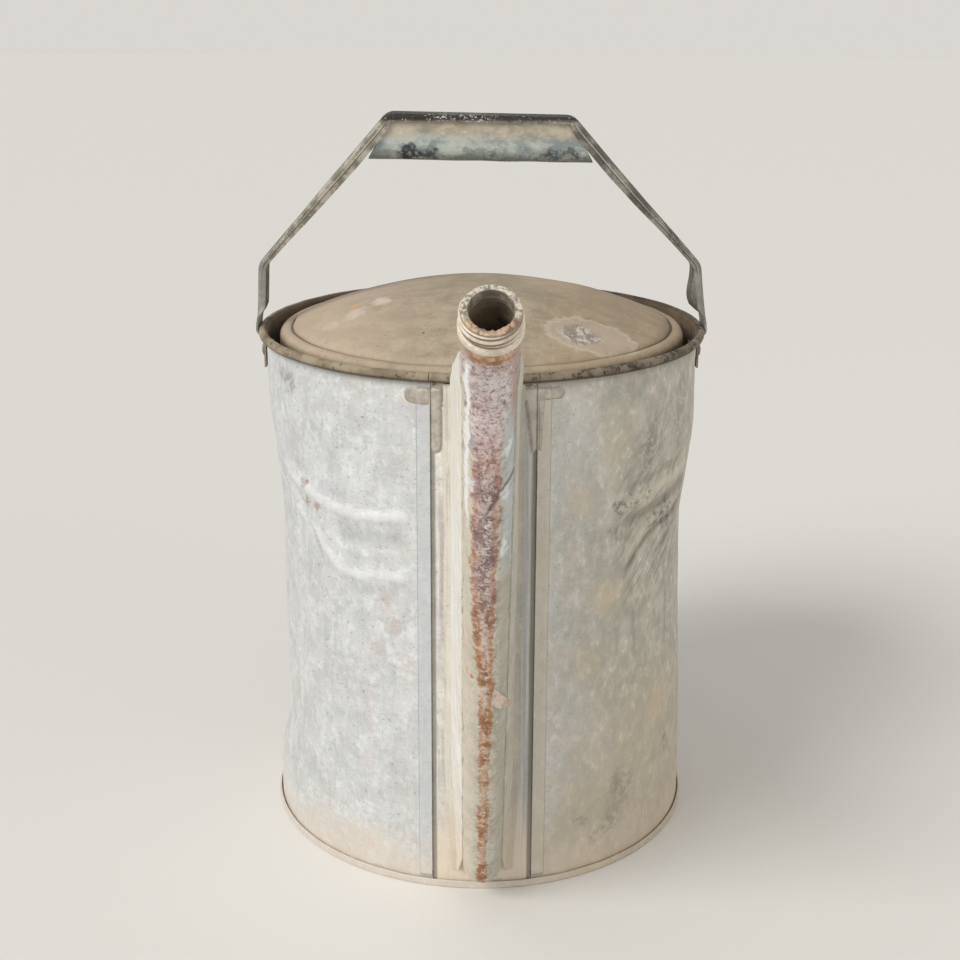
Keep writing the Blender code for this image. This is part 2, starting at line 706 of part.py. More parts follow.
def rivet(name, place, direction, outside, material):
    """Round head outside the strap, shank through both sheets, and a smaller set head inside."""
    inside = -SHEET - GAP * 2.4
    head = RIVET_HEAD_RADIUS
    outline = [(0, outside + RIVET_HEAD_HEIGHT), (head * 0.6, outside + RIVET_HEAD_HEIGHT * 0.8)]
    outline += [(head, outside + RIVET_HEAD_HEIGHT * 0.2), (head, outside)]
    outline += [(RIVET_RADIUS, outside), (RIVET_RADIUS, inside), (head * 0.8, inside)]
    outline += [(head * 0.7, inside - RIVET_HEAD_HEIGHT * 0.7), (0, inside - RIVET_HEAD_HEIGHT * 0.8)]
    obj = turned_piece(name, outline, RIVET_STEPS, material)
    obj.location = place
    obj.rotation_euler = facing(direction)


def round_cutter(name, centres, direction, radius, length):
    """One hidden object with a cylinder through each centre."""
    bm = bmesh.new()
    for centre in centres:
        turn = Vector((*direction, 0)).to_track_quat("Z", "Y").to_matrix().to_4x4()
        place = Matrix.Translation(centre) @ turn
        bmesh.ops.create_cone(
            bm, cap_ends=True, segments=10, radius1=radius, radius2=radius, depth=length, matrix=place
        )
    cutter = add_object(name, bm, None, "cutters")
    cutter.hide_render = True
    cutter.display_type = "WIRE"
    return cutter


def strainer_centres():
    """Hole centres in the panel where the spout's heel meets it."""
    y = -wall_radius(HEEL_HEIGHT)
    centres = [(0, y, HEEL_HEIGHT)]
    for i in range(STRAINER_RING_COUNT):
        turn = 2 * math.pi * i / STRAINER_RING_COUNT
        x = STRAINER_PITCH * math.cos(turn)
        centres.append((x, y, HEEL_HEIGHT + STRAINER_PITCH * math.sin(turn)))
    return centres


def can_centre_offset():
    """Where the can's axis stands so that the whole object is centred front to back."""
    mouth_y, mouth_z = spout_route()[-1]
    lip = RING_HEIGHT - RING_SOCKET + GAP
    front = -mouth_y + lip * math.cos(MOUTH_SLOPE) + (RING_OUTER - 0.0004) * math.sin(MOUTH_SLOPE)
    grip = REAR_HANDLE_TOP - REAR_FOOT_LENGTH - REAR_HANDLE_REACH * 0.32
    rear = wall_radius(grip) + REAR_HANDLE_REACH + STRAP_SHEET / 2
    return (front - rear) / 2


def clear_scene():
    for obj in list(bpy.data.objects):
        bpy.data.objects.remove(obj)
    for name in ("watering_can", "cutters"):
        bpy.context.scene.collection.children.link(bpy.data.collections.new(name))


def build():
    clear_scene()
    axis = bpy.data.objects.new("can_axis", None)
    bpy.data.collections["watering_can"].objects.link(axis)

    zinc = make_material("weathered_zinc", (0.47, 0.46, 0.43), 0.6, 0.5)
    dull_zinc = make_material("dusty_zinc", (0.37, 0.30, 0.22), 0.75, 0.3)
    dark_strap = make_material("dark_strap", (0.16, 0.17, 0.17), 0.55, 0.6)
    rust = make_material("rusted_tube", (0.28, 0.17, 0.13), 0.8, 0.2)
    solder = make_material("dull_solder", (0.33, 0.31, 0.27), 0.55, 0.5)
    brass = make_material("ring_metal", (0.55, 0.48, 0.38), 0.6, 0.5)
    wire = make_material("rim_steel", (0.22, 0.17, 0.13), 0.7, 0.4)

    wall = body_wall(zinc)
    panel = front_panel(zinc)
    rim_wire(wire)
    bottom_pan(zinc)
    hood(dull_zinc)
    spout_tube(rust)
    spout_sleeve(rust)
    spout_ring(brass)
    gusset("left_gusset", -1, zinc)
    gusset("right_gusset", 1, zinc)
    seam_solder("left_seam_solder", -1, solder)
    seam_solder("right_seam_solder", 1, solder)
    strap = handle_strap(dark_strap)
    grip_sheath(dark_strap)
    rear = rear_handle(dark_strap)

    places = rivet_places()
    for name, place, direction, reach in places:
        rivet(name, place, direction, reach, dark_strap)
    hole = RIVET_RADIUS + GAP
    sides = [place for _, place, direction, _ in places if direction[0]]
    backs = [place for _, place, direction, _ in places if direction[1]]
    side_cutter = round_cutter("side_rivet_holes", sides, (1, 0), hole, 0.016)
    back_cutter = round_cutter("rear_rivet_holes", backs, (0, 1), hole, 0.016)
    holes = round_cutter("strainer_holes", strainer_centres(), (0, 1), STRAINER_HOLE_RADIUS, 0.012)
    cut_with(wall, side_cutter)
    cut_with(wall, back_cutter)
    cut_with(strap, side_cutter)
    cut_with(rear, back_cutter)
    cut_with(panel, holes)

    axis.location = (0, can_centre_offset(), 0)


build()
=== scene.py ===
"""Looks of the weathered galvanised watering can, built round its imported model.

Units are metres with +Z up. Forms are worked out round the can's own axis and then moved onto it.
Angles round the body are measured from the front, positive towards +X.
"""

import math

import bmesh
import bpy
from mathutils import Matrix, Vector, noise


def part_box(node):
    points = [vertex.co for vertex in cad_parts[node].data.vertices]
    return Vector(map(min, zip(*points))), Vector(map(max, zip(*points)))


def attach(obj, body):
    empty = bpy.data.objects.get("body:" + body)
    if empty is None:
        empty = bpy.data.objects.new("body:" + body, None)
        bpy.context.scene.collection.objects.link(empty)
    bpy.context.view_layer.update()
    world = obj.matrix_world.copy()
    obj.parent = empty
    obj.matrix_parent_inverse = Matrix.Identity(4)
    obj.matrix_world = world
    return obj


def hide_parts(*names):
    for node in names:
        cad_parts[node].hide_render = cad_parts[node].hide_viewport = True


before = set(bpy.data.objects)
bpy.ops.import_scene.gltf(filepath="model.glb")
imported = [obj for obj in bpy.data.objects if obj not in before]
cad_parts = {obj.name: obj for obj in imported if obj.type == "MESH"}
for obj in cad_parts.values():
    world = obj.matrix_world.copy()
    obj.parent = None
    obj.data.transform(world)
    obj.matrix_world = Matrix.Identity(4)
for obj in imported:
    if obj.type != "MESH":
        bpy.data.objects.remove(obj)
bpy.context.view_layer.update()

MM = 0.001

# Sheet and fits, as in the solids
SHEET = 0.0008
STRAP_SHEET = 0.0012
GAP = 0.0003

# Body
RIM_HEIGHT = 0.303
RIM_RADIUS = 0.1292
BASE_RADIUS = 0.1279
CURL_RADIUS = 0.0022
CURL_END = math.radians(-75)
WALL_TOP_RADIUS = RIM_RADIUS - CURL_RADIUS
WALL_BOTTOM = SHEET + GAP
BEAD_OUTER = CURL_RADIUS + SHEET / 2
SEAM_ANGLE = math.asin(0.028 / WALL_TOP_RADIUS)
BAND_WIDTH = 0.0065
BAND_ANGLE = BAND_WIDTH / WALL_TOP_RADIUS
BAND_INSET = 0.009
BAND_FADED = 0.005
JOGGLE = SHEET + GAP
JOGGLE_RUN = 0.0014
JOGGLE_ANGLE = JOGGLE_RUN / WALL_TOP_RADIUS
BAND_FULL = BAND_INSET - GAP * 3
CURL_STEPS = 12
FINE_ANGLE = math.radians(102)

# Bottom
PAN_RECESS = 0.006
PAN_CLEARANCE = 0.0013
HEM_HEIGHT = 0.0045

# Hood
HOOD_RISE = 0.027
HOOD_RADIUS = 0.118
STEP_RADIUS = 0.1125
STEP_DROP = 0.0012
HOOD_FLOOR = RIM_HEIGHT - 0.0185
HOOD_LIP = 0.005
HOOD_REAR_EDGE = 0.065
HOOD_HEM = 0.004

# Spout
TUBE_RADIUS = 0.01075
TUBE_WALL = 0.0008
HEEL_HEIGHT = 0.021
HEEL_BEND = 0.014
HEEL_STUB = 0.0035
SPOUT_SLOPE = math.radians(64.7)
SPOUT_STRAIGHT = 0.341
MOUTH_SLOPE = math.radians(47)
MOUTH_BEND = 0.079
MOUTH_STRAIGHT = 0.022
SLEEVE_LENGTH = 0.008
SLEEVE_WALL = 0.0011
RING_HEIGHT = 0.013
RING_SOCKET = 0.006
RING_BORE = 0.0090
RING_OUTER = 0.01185
COLLAR_OUTER = 0.0132
COLLAR_HEIGHT = 0.0034
THREAD_HEIGHT = 0.0008
THREAD_PITCH = 0.0036

# Gussets
GUSSET_HALF_WIDTH = 0.0172
GUSSET_FOOT_HALF_WIDTH = 0.0132
GUSSET_FLANGE = 0.004
GUSSET_BOTTOM = 0.012
GUSSET_NECK = 0.357
TUBE_SWELL = 0.0008

# Strap handle and grip
HANDLE_TOP = 0.4265
LEG_LEAN = 0.0038
LOWER_BEND_HEIGHT = 0.341
UPPER_BEND_HALF_SPAN = 0.0535
FOOT_LENGTH = 0.0185
STRAP_WRAP = math.radians(60)
WRAP_RADIUS = BEAD_OUTER + GAP + STRAP_SHEET / 2
STRAP_X = RIM_RADIUS + WRAP_RADIUS
FOOT_X = WALL_TOP_RADIUS + SHEET / 2 + GAP + STRAP_SHEET / 2
FLANGE_TOP = 0.0032
FLANGE_ARM = 0.0066
FLANGE_LEG = 0.0040
FLANGE_FOOT = 0.0025
GRIP_DEPTH = 0.0258
GRIP_HALF_LENGTH = 0.052
GRIP_END_SLOPE = 0.52

# Rear handle and rivets
REAR_HANDLE_TOP = 0.222
REAR_HANDLE_DROP = 0.150
REAR_HANDLE_REACH = 0.040
REAR_HANDLE_HALF_WIDTH = 0.012
REAR_FOOT_LENGTH = 0.024
RIVET_HEAD_RADIUS = 0.0038
RIVET_HEAD_HEIGHT = 0.0014
RIVET_SPACING = 0.0064

# Camera, fitted to the rim and the base in the photograph
CAMERA_REACH = 0.8806
CAMERA_HEIGHT = 0.4921
CAMERA_PITCH = math.radians(18)
CAMERA_ASIDE = math.radians(-0.65)
CAMERA_ROLL = math.radians(0.25)

# Light
WARM_WHITE = (1.0, 0.985, 0.96)
LIT_PLACE = (0, 0.03, 0.20)

# The body's main dents: angle, half spread, fade in, full, hold and fade out as shares of the height, depth
SIDE_DENTS = (
    (math.radians(-88), math.radians(46), 0.079, 0.211, 0.653, 0.914, 0.0069),
    (math.radians(82), math.radians(42), 0.099, 0.620, 0.627, 0.825, 0.0056),
    (math.radians(47), math.radians(13), 0.280, 0.594, 0.677, 0.733, 0.0034),
)

# Ridges and creases beaten into the body: points as (degrees, mm up), half width and height in mm
FOLDS = (
    (((-64, 231), (-51, 228), (-44, 224), (-37, 221.5), (-31, 221), (-24, 223), (-15, 224)), 3.4, 1.15),
    (((-42, 211), (-32, 208), (-24, 209), (-16, 210)), 6.5, -0.9),
    (((-60, 217), (-54, 212), (-47, 205), (-42, 194), (-38, 187), (-32, 186), (-27, 188), (-15, 189)),
     3.2, 1.0),
    (((-40, 177), (-30, 178), (-18, 180)), 4.5, -0.55),
    (((-63, 233), (-53.6, 219), (-46, 196), (-43, 180)), 1.7, -0.9),
    (((-60, 293), (-51.6, 278), (-43, 253), (-40, 234)), 2.4, -0.5),
    (((-67, 290), (-60, 262), (-57, 240)), 2.6, -0.55),
    (((-63, 292), (-56, 270), (-50, 248), (-48, 236)), 2.0, 0.5),
    (((-51, 294), (-45, 272), (-39, 248)), 2.2, 0.35),
    (((-80, 236), (-70, 226), (-62, 219)), 3.0, 0.8),
    (((-78, 205), (-66, 203), (-56, 196)), 4.0, -0.6),
    (((33, 220), (38.4, 223.5), (44, 226.5), (52, 229.5), (62, 232), (72, 233)), 2.6, 1.5),
    (((35, 231), (44, 235), (54, 238), (68, 240)), 3.4, -0.6),
    (((35, 212), (43, 215), (52, 218), (64, 220), (76, 220)), 4.5, -1.0),
    (((37, 181), (44.5, 192), (49.4, 199), (54.6, 204), (62.5, 207), (76, 209)), 1.8, -1.5),
    (((36, 189), (43, 199), (48, 206), (54, 211), (64, 214)), 2.4, 1.0),
    (((51, 184), (56, 190), (61.4, 197), (70, 201)), 1.6, -0.9),
    (((43.3, 181), (42.8, 165), (44.2, 139), (44.6, 120)), 3.2, -0.5),
    (((52, 180), (51.4, 147), (52, 118)), 2.4, 0.6),
    (((58.4, 184), (60, 150), (60, 116)), 1.9, -0.65),
    (((66, 190), (68, 150), (67, 120)), 2.2, 0.6),
    (((40, 68), (36.4, 42), (36, 24)), 6.0, -0.5),
    (((55, 282), (52, 262), (50, 246)), 2.4, -0.45),
    (((66, 284), (62, 262), (58, 246)), 2.6, 0.45),
)

AXIS_Y = sum(corner.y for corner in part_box("rim_wire")) / 2


# Plain geometry


def smooth_step(value, low, high):
    share = min(max((value - low) / (high - low), 0.0), 1.0)
    return share * share * (3 - 2 * share)


def bump_of(distance, width):
    return math.exp(-((distance / width) ** 2))


def lump(point, size, seed=0.0):
    """Soft noise from -1 to 1 with lumps about size metres across."""
    return noise.noise(Vector(point) / size + Vector((seed, seed * 1.7, seed * 2.3)))


def wall_radius(z):
    """Middle of the body's sheet at height z, before the dents."""
    return BASE_RADIUS + (WALL_TOP_RADIUS - BASE_RADIUS) * z / RIM_HEIGHT


def turned(radius, z, angle):
    return Vector((radius * math.sin(angle), -radius * math.cos(angle), z))


def angle_of(point):
    return math.atan2(point.x, -point.y)


def dent_depth(angle, z):
    """How far the body's sheet is pushed in at this angle and height."""
    depth = 0.0
    up = z / RIM_HEIGHT
    for centre, spread, low, full, hold, high, deepest in SIDE_DENTS:
        share = max(0.0, 1 - ((angle - centre) / spread) ** 2) ** 2
        depth += deepest * share * smooth_step(up, low, full) * (1 - smooth_step(up, hold, high))
    clear = math.radians(17)
    return depth * smooth_step(abs(angle), clear, clear + BAND_ANGLE * 3)


def fold_height(angle, z):
    """Height of the beaten ridges and creases here, outwards positive."""
    round_mm = angle * WALL_TOP_RADIUS / MM
    up = z / MM
    total = 0.0
    for points, width, height in FOLDS:
        reach = width * 2.6
        if not min(p[1] for p in points) - reach < up < max(p[1] for p in points) + reach:
            continue
        spots = [Vector((math.radians(a) * WALL_TOP_RADIUS / MM, h)) for a, h in points]
        if not spots_near(spots, round_mm, reach):
            continue
        total += height * line_share(spots, Vector((round_mm, up)), width)
    return total * MM


def spots_near(spots, across, reach):
    return min(p.x for p in spots) - reach < across < max(p.x for p in spots) + reach


def line_share(spots, here, width):
    """1 on the line through the spots, fading with distance and at the line's two ends."""
    lengths = [(b - a).length for a, b in zip(spots, spots[1:])]
    best, along, walked = 1e9, 0.0, 0.0
    for a, b, length in zip(spots, spots[1:], lengths):
        part = min(max((here - a).dot(b - a) / length**2, 0.0), 1.0)
        distance = (here - a.lerp(b, part)).length
        if distance < best:
            best, along = distance, walked + part * length
        walked += length
    ends = min(along, walked - along)
    return bump_of(best, width) * smooth_step(ends, -0.1, min(12.0, walked * 0.3))


def arc(centre, radius, start, end, steps):
    """Points of a circle in a plane, from angle start to angle end."""
    turns = [start + (end - start) * i / steps for i in range(steps + 1)]
    return [(centre[0] + radius * math.cos(a), centre[1] + radius * math.sin(a)) for a in turns]


def rounded_path(corners, radii, steps):
    """A path in a plane through corners, with an arc of the given radius at each inner one."""
    points = [Vector(corners[0])]
    for before, corner, after, radius in zip(corners, corners[1:], corners[2:], radii):
        corner = Vector(corner)
        back = (Vector(before) - corner).normalized()
        on = (Vector(after) - corner).normalized()
        half = back.angle(on) / 2
        reach = radius / math.tan(half)
        centre = corner + (back + on).normalized() * radius / math.sin(half)
        first = corner + back * reach - centre
        last = corner + on * reach - centre
        turn = first.angle_signed(last)
        for i in range(steps + 1):
            points.append(centre + Matrix.Rotation(-turn * i / steps, 2) @ first)
    points.append(Vector(corners[-1]))
    return points


def spaced(points, longest):
    """The same path with no stretch longer than this."""
    points = [Vector(p) for p in points]
    made = [points[0]]
    for start, end in zip(points, points[1:]):
        count = max(1, math.ceil((end - start).length / longest))
        made += [start.lerp(end, (i + 1) / count) for i in range(count)]
    return made


def drawn(rows, closed=False):
    """A sheet drawn out row by row: the edges of each row are extruded and set on the next."""
    bm = bmesh.new()
    verts = [bm.verts.new(point) for point in rows[0]]
    for pair in zip(verts, verts[1:] + verts[:1] if closed else verts[1:]):
        bm.edges.new(pair)
    edges = bm.edges[:]
    for row in rows[1:]:
        made = set(bmesh.ops.extrude_edge_only(bm, edges=edges)["geom"])
        following = []
        for vert, point in zip(verts, row):
            ahead = next(e.other_vert(vert) for e in vert.link_edges if e.other_vert(vert) in made)
            following.append((ahead, point))
        for vert, point in following:
            vert.co = point
        verts = [vert for vert, _ in following]
        kept = set(verts)
        edges = [e for e in made if isinstance(e, bmesh.types.BMEdge) and kept.issuperset(e.verts)]
    return bm


def spun(profile, start, sweeps, whole=False):
    """A surface turned about Z from (radius, z) points, in sweeps of (angle, steps)."""
    bm = bmesh.new()
    verts = [bm.verts.new(turned(radius, z, start)) for radius, z in profile]
    geom = verts + [bm.edges.new(pair) for pair in zip(verts, verts[1:])]
    for angle, steps in sweeps:
        made = bmesh.ops.spin(bm, geom=geom, axis=(0, 0, 1), angle=angle, steps=steps, use_merge=whole)
        geom = made["geom_last"]
    bmesh.ops.remove_doubles(bm, verts=bm.verts, dist=1e-6)
    return bm


def lathe(profile, steps):
    """A closed solid of revolution; the profile runs round the section, or from pole to pole."""
    closed = profile[0][0] > 0
    bm = bmesh.new()
    verts = [bm.verts.new((radius, 0, z)) for radius, z in profile]
    pairs = zip(verts, verts[1:] + verts[:1] if closed else verts[1:])
    geom = verts + [bm.edges.new(pair) for pair in pairs]
    bmesh.ops.spin(bm, geom=geom, axis=(0, 0, 1), angle=2 * math.pi, steps=steps, use_merge=True)
    bmesh.ops.remove_doubles(bm, verts=bm.verts, dist=1e-6)
    bmesh.ops.recalc_face_normals(bm, faces=bm.faces)
    return bm


def face_outward(bm, away_from):
    """Recalculates a sheet's normals and turns them to point away from a line or point."""
    bmesh.ops.recalc_face_normals(bm, faces=bm.faces)
    total = sum(
        face.normal.dot(face.calc_center_median() - away_from(face.calc_center_median())) * face.calc_area()
        for face in bm.faces
    )
    if total < 0:
        bmesh.ops.reverse_faces(bm, faces=bm.faces)


def own_axis(point):
    return Vector((0, 0, point.z))


def pulled_on(bm, edges):
    """Extrudes these edges and gives the new corners and edges, which still lie where the old ones do."""
    made = bmesh.ops.extrude_edge_only(bm, edges=edges)["geom"]
    corners = [item for item in made if isinstance(item, bmesh.types.BMVert)]
    kept = set(corners)
    edges = [item for item in made if isinstance(item, bmesh.types.BMEdge)]
    return corners, [edge for edge in edges if kept.issuperset(edge.verts)]


def note(bm, name, values):
    """Keeps one number per vertex on the mesh for the paints to read."""
    layer = bm.verts.layers.float.get(name) or bm.verts.layers.float.new(name)
    for vert in bm.verts:
        vert[layer] = values(vert)


def new_piece(name, bm, paints, nodes, thickness=0.0, offset=0.0, edge=0.00016):
    """Sets a finished bmesh on the can's axis as one piece that stands for these nodes."""
    bmesh.ops.translate(bm, verts=bm.verts, vec=(0, AXIS_Y, 0))
    mesh = bpy.data.meshes.new(name)
    bm.to_mesh(mesh)
    bm.free()
    for paint in paints:
        mesh.materials.append(paint)
    mesh.shade_smooth()
    mesh.set_sharp_from_angle(angle=math.radians(50))
    obj = bpy.data.objects.new(name, mesh)
    bpy.context.scene.collection.objects.link(obj)
    if thickness:
        sheet = obj.modifiers.new("Sheet", "SOLIDIFY")
        sheet.thickness = thickness
        sheet.offset = offset
        sheet.use_even_offset = True
        sheet.material_offset = len(paints) - 1
        worn = obj.modifiers.new("Worn edges", "BEVEL")
        worn.width = edge
        worn.segments = 2
        worn.limit_method = "ANGLE"
        worn.angle_limit = math.radians(55)
        worn.harden_normals = True
    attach(obj, "root")
    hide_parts(*nodes)
    return obj


# Finishes


def shade(red, green, blue):
    """A colour as seen on screen, given from 0 to 255, as the shader wants it."""
    parts = [c / 255 for c in (red, green, blue)]
    return (*[c / 12.92 if c <= 0.04045 else ((c + 0.055) / 1.055) ** 2.4 for c in parts], 1.0)


def maths(operation, swapped=False):
    """A method that puts its own value and another through one maths node."""

    def method(self, other=0.0):
        first, second = (other, self) if swapped else (self, other)
        return self.paint.node("ShaderNodeMath", {"operation": operation}, {0: first, 1: second})

    return method


class Signal:
    """A value at a shader socket that takes part in sums."""

    def __init__(self, paint, socket):
        self.paint = paint
        self.socket = socket

    __add__ = maths("ADD")
    __radd__ = maths("ADD", swapped=True)
    __sub__ = maths("SUBTRACT")
    __rsub__ = maths("SUBTRACT", swapped=True)
    __mul__ = maths("MULTIPLY")
    __rmul__ = maths("MULTIPLY", swapped=True)
    __abs__ = maths("ABSOLUTE")
    most = maths("MAXIMUM")

    def over(self, low, high):
        """0 where the value is below low, 1 above high, and smooth between them."""
        sockets = {"Value": self, "From Min": low, "From Max": high}
        return self.paint.node("ShaderNodeMapRange", {"interpolation_type": "SMOOTHSTEP"}, sockets)

    def under(self, low, high):
        return 1 - self.over(low, high)

    def coat(self, share, tone):
        """This colour with a tone laid over it, where share says and as strongly."""
        return self.paint.blend(share, self, tone)


class Paint:
    """A finish being built up from layers on one piece of the can."""

    def __init__(self, name):
        self.material = bpy.data.materials.new(name)
        self.material.use_nodes = True
        self.tree = self.material.node_tree
        self.shader = self.tree.nodes["Principled BSDF"]
        self.place = self.node("ShaderNodeTexCoord", {}, {}, "Object")
        axes = [self.node("ShaderNodeSeparateXYZ", {}, {0: self.place}, i) for i in range(3)]
        self.x, self.y, self.z = axes
        sockets = {"Vector": self.place, "Scale": 160.0, "Detail": 3.0}
        scatter = self.node("ShaderNodeTexNoise", {}, sockets, 1)
        centred = self.vector("SUBTRACT", scatter, (0.5, 0.5, 0.5))
        self.ragged = self.vector("MULTIPLY_ADD", centred, (0.014, 0.014, 0.014), self.place)
        self.colour = None

    def node(self, kind, settings, sockets, output=0):
        made = self.tree.nodes.new(kind)
        for name, value in settings.items():
            if name == "stops":
                self.set_stops(made.color_ramp, value)
            else:
                setattr(made, name, value)
        for key, value in sockets.items():
            if isinstance(value, Signal):
                self.tree.links.new(value.socket, made.inputs[key])
            else:
                made.inputs[key].default_value = value
        return Signal(self, made.outputs[output])

    def set_stops(self, ramp, stops):
        while len(ramp.elements) < len(stops):
            ramp.elements.new(0.5)
        for element, (at, level) in zip(ramp.elements, stops):
            element.position = at
            element.color = (level, level, level, 1.0)

    def vector(self, operation, first, second, third=None, output=0):
        sockets = {0: first, 1: second}
        if third is not None:
            sockets[2] = third
        return self.node("ShaderNodeVectorMath", {"operation": operation}, sockets, output)

    def lumps(self, size, detail=4.0, rough=0.55, stretch=(1, 1, 1), shift=0.0, at=None):
        """Soft random pattern with lumps about size metres across, from 0 to 1."""
        moved = (shift, shift * 1.3, shift * 0.7)
        sockets = {"Vector": at or self.place, "Location": moved, "Scale": stretch}
        place = self.node("ShaderNodeMapping", {}, sockets)
        sockets = {"Vector": place, "Scale": 1 / size, "Detail": detail, "Roughness": rough}
        return self.node("ShaderNodeTexNoise", {}, sockets)

    def crystals(self, size):
        """Flat sided cells, each of one grey, as the spangle of hot dipped zinc has."""
        cells = self.node("ShaderNodeTexVoronoi", {}, {"Vector": self.ragged, "Scale": 1 / size}, "Color")
        return self.node("ShaderNodeRGBToBW", {}, {0: cells})

    def blend(self, share, first, second):
        """From the first colour to the second; one that isn't a signal is as seen on screen, 0 to 255."""
        first, second = (shade(*tone) if isinstance(tone, tuple) else tone for tone in (first, second))
        settings = {"data_type": "RGBA", "blend_type": "MIX", "clamp_factor": True}
        return self.node("ShaderNodeMix", settings, {0: share, 6: first, 7: second}, 2)

    def coat(self, share, tone):
        """Lays a tone over the colour so far."""
        self.colour = self.colour.coat(share, tone)

    def noted(self, name):
        """A number kept on the mesh by the piece itself."""
        return self.node("ShaderNodeAttribute", {"attribute_name": name}, {}, 2)

    def strokes(self, across, long, tilt, shift):
        """Brushed looking pattern that follows the body's sheet, tilted from upright by tilt degrees."""
        unrolled = self.node("ShaderNodeCombineXYZ", {}, {0: self.noted("round"), 1: 0.0, 2: self.z})
        sockets = {"Vector": unrolled, "Angle": -math.radians(tilt)}
        place = self.node("ShaderNodeVectorRotate", {"rotation_type": "Y_AXIS"}, sockets)
        return self.lumps(across, 3.0, 0.6, (1, 1, across / long), shift, place)

    def spot(self, centre, radius, stretch=(1, 1, 1), soft=0.5):
        """A ragged round patch: 1 at its middle, 0 outside."""
        offset = self.vector("SUBTRACT", self.ragged, tuple(centre))
        offset = self.vector("MULTIPLY", offset, stretch)
        far = self.vector("LENGTH", offset, (0, 0, 0), output=1)
        return far.under(radius * (1 - soft), radius)

    def stain(self, centre, radius, strength, tone, stretch=(1, 1, 1), soft=0.6, pattern=1.0):
        """Lays a tone over a ragged round patch, broken up by a pattern."""
        self.coat(self.spot(centre, radius, stretch, soft) * pattern * strength, tone)

    def bands(self, value, stops):
        """A number that follows the stops as value goes from 0 to 1."""
        return self.node("ShaderNodeValToRGB", {"stops": stops}, {0: value})

    def finish(self, roughness, metallic, height, depth, bleached=1.14):
        """Joins the layers to the shader, lightened by bleached; height is in shares of depth metres."""
        colour = self.vector("MULTIPLY", self.colour, (bleached, bleached, bleached))
        colour = self.vector("MINIMUM", colour, (0.88, 0.88, 0.88))
        for name, value in (("Base Color", colour), ("Roughness", roughness), ("Metallic", metallic)):
            if isinstance(value, Signal):
                self.tree.links.new(value.socket, self.shader.inputs[name])
            else:
                self.shader.inputs[name].default_value = value
        sockets = {"Strength": 1.0, "Distance": depth, "Height": height}
        normal = self.node("ShaderNodeBump", {}, sockets)
        self.tree.links.new(normal.socket, self.shader.inputs["Normal"])
        return self.material


def in_place(point):
    """A point given from the can's own axis, in the model's own place."""
    return Vector(point) + Vector((0, AXIS_Y, 0))


def on_body(degrees, height_mm):
    """A point on the body's outside, for placing a stain."""
    return in_place(turned(wall_radius(height_mm * MM), height_mm * MM, math.radians(degrees)))


def zinc_layers(paint, pale, dark, dust):
    """Spangle, oxide bloom and dust that all the zinc sheets share; gives the height and patterns."""
    broad = paint.lumps(0.060, 3.0)
    patch = paint.lumps(0.016, 5.0, 0.62, shift=3.0)
    fleck = paint.lumps(0.0042, 4.0, 0.70, shift=7.0)
    grit = paint.lumps(0.0015, 2.0, 0.6, shift=11.0)
    streak = paint.lumps(0.007, 4.0, 0.6, (1, 1, 0.16), 5.0)
    cells = paint.crystals(0.008)
    tone = (patch * 0.50 + broad * 0.30 + cells * 0.26 + fleck * 0.25).over(0.40, 0.92)
    paint.colour = paint.blend(tone, dark, pale)
    bloom = (fleck + (patch - 0.5) * 0.5).over(0.50, 0.72)
    paint.coat(bloom * 0.38, (230, 232, 233))
    paint.coat(streak.over(0.50, 0.75) * 0.14, dust)
    lilac = paint.lumps(0.028, 4.0, 0.6, shift=21.0).over(0.54, 0.68)
    paint.coat(lilac * 0.30, (196, 188, 196))
    pits = (grit + (fleck - 0.5) * 0.6).under(0.27, 0.36)
    paint.coat(pits * 0.45, (112, 108, 100))
    height = patch * 0.30 + fleck * 0.45 + grit * 0.14 + cells * 0.08
    return height, patch, fleck, broad


def bead_layers(paint, patch, fleck):
    """The rim's bead: cream tan on the left, darker on the right, with black pits, painted shade on its
    underside and on its inner side.
    """
    middle = paint.vector("SUBTRACT", paint.place, (0, AXIS_Y, 0))
    middle = paint.vector("MULTIPLY", middle, (1, 1, 0))
    radius = paint.vector("LENGTH", middle, (0, 0, 0), output=1)
    bead = radius.over(RIM_RADIUS - CURL_RADIUS * 1.1, RIM_RADIUS - CURL_RADIUS * 0.6)
    bead = bead * paint.z.over(RIM_HEIGHT - 0.0042, RIM_HEIGHT - 0.0034)
    bead = bead.most(paint.z.over(RIM_HEIGHT + 0.0006, RIM_HEIGHT + 0.0014))
    right = (paint.x + (patch - 0.5) * 0.06).over(-0.005, 0.080)
    cream = paint.blend(patch.over(0.40, 0.60), (130, 117, 98), (164, 150, 128))
    brown = paint.blend(patch.over(0.40, 0.60), (96, 86, 73), (134, 123, 106))
    tone = paint.blend(right, cream, brown)
    pitted = (fleck + (patch - 0.5) * 0.3 - right * 0.06).under(0.34, 0.42)
    tone = tone.coat(pitted * 0.9, (50, 45, 39))
    # Painted shade on the bead's underside
    under = (paint.z + (fleck - 0.5) * 0.001).under(RIM_HEIGHT - 0.0019, RIM_HEIGHT - 0.0006)
    tone = tone.coat(under * 0.75, (75, 64, 53))
    # Painted shade on the bead's inner side, which narrows its lit band
    inner_side_shade = (radius + (fleck - 0.5) * 0.0008).under(RIM_RADIUS - 0.0013, RIM_RADIUS - 0.0001)
    tone = tone.coat(inner_side_shade * 0.80, (80, 67, 51))
    paint.coat(bead, tone)
    return bead


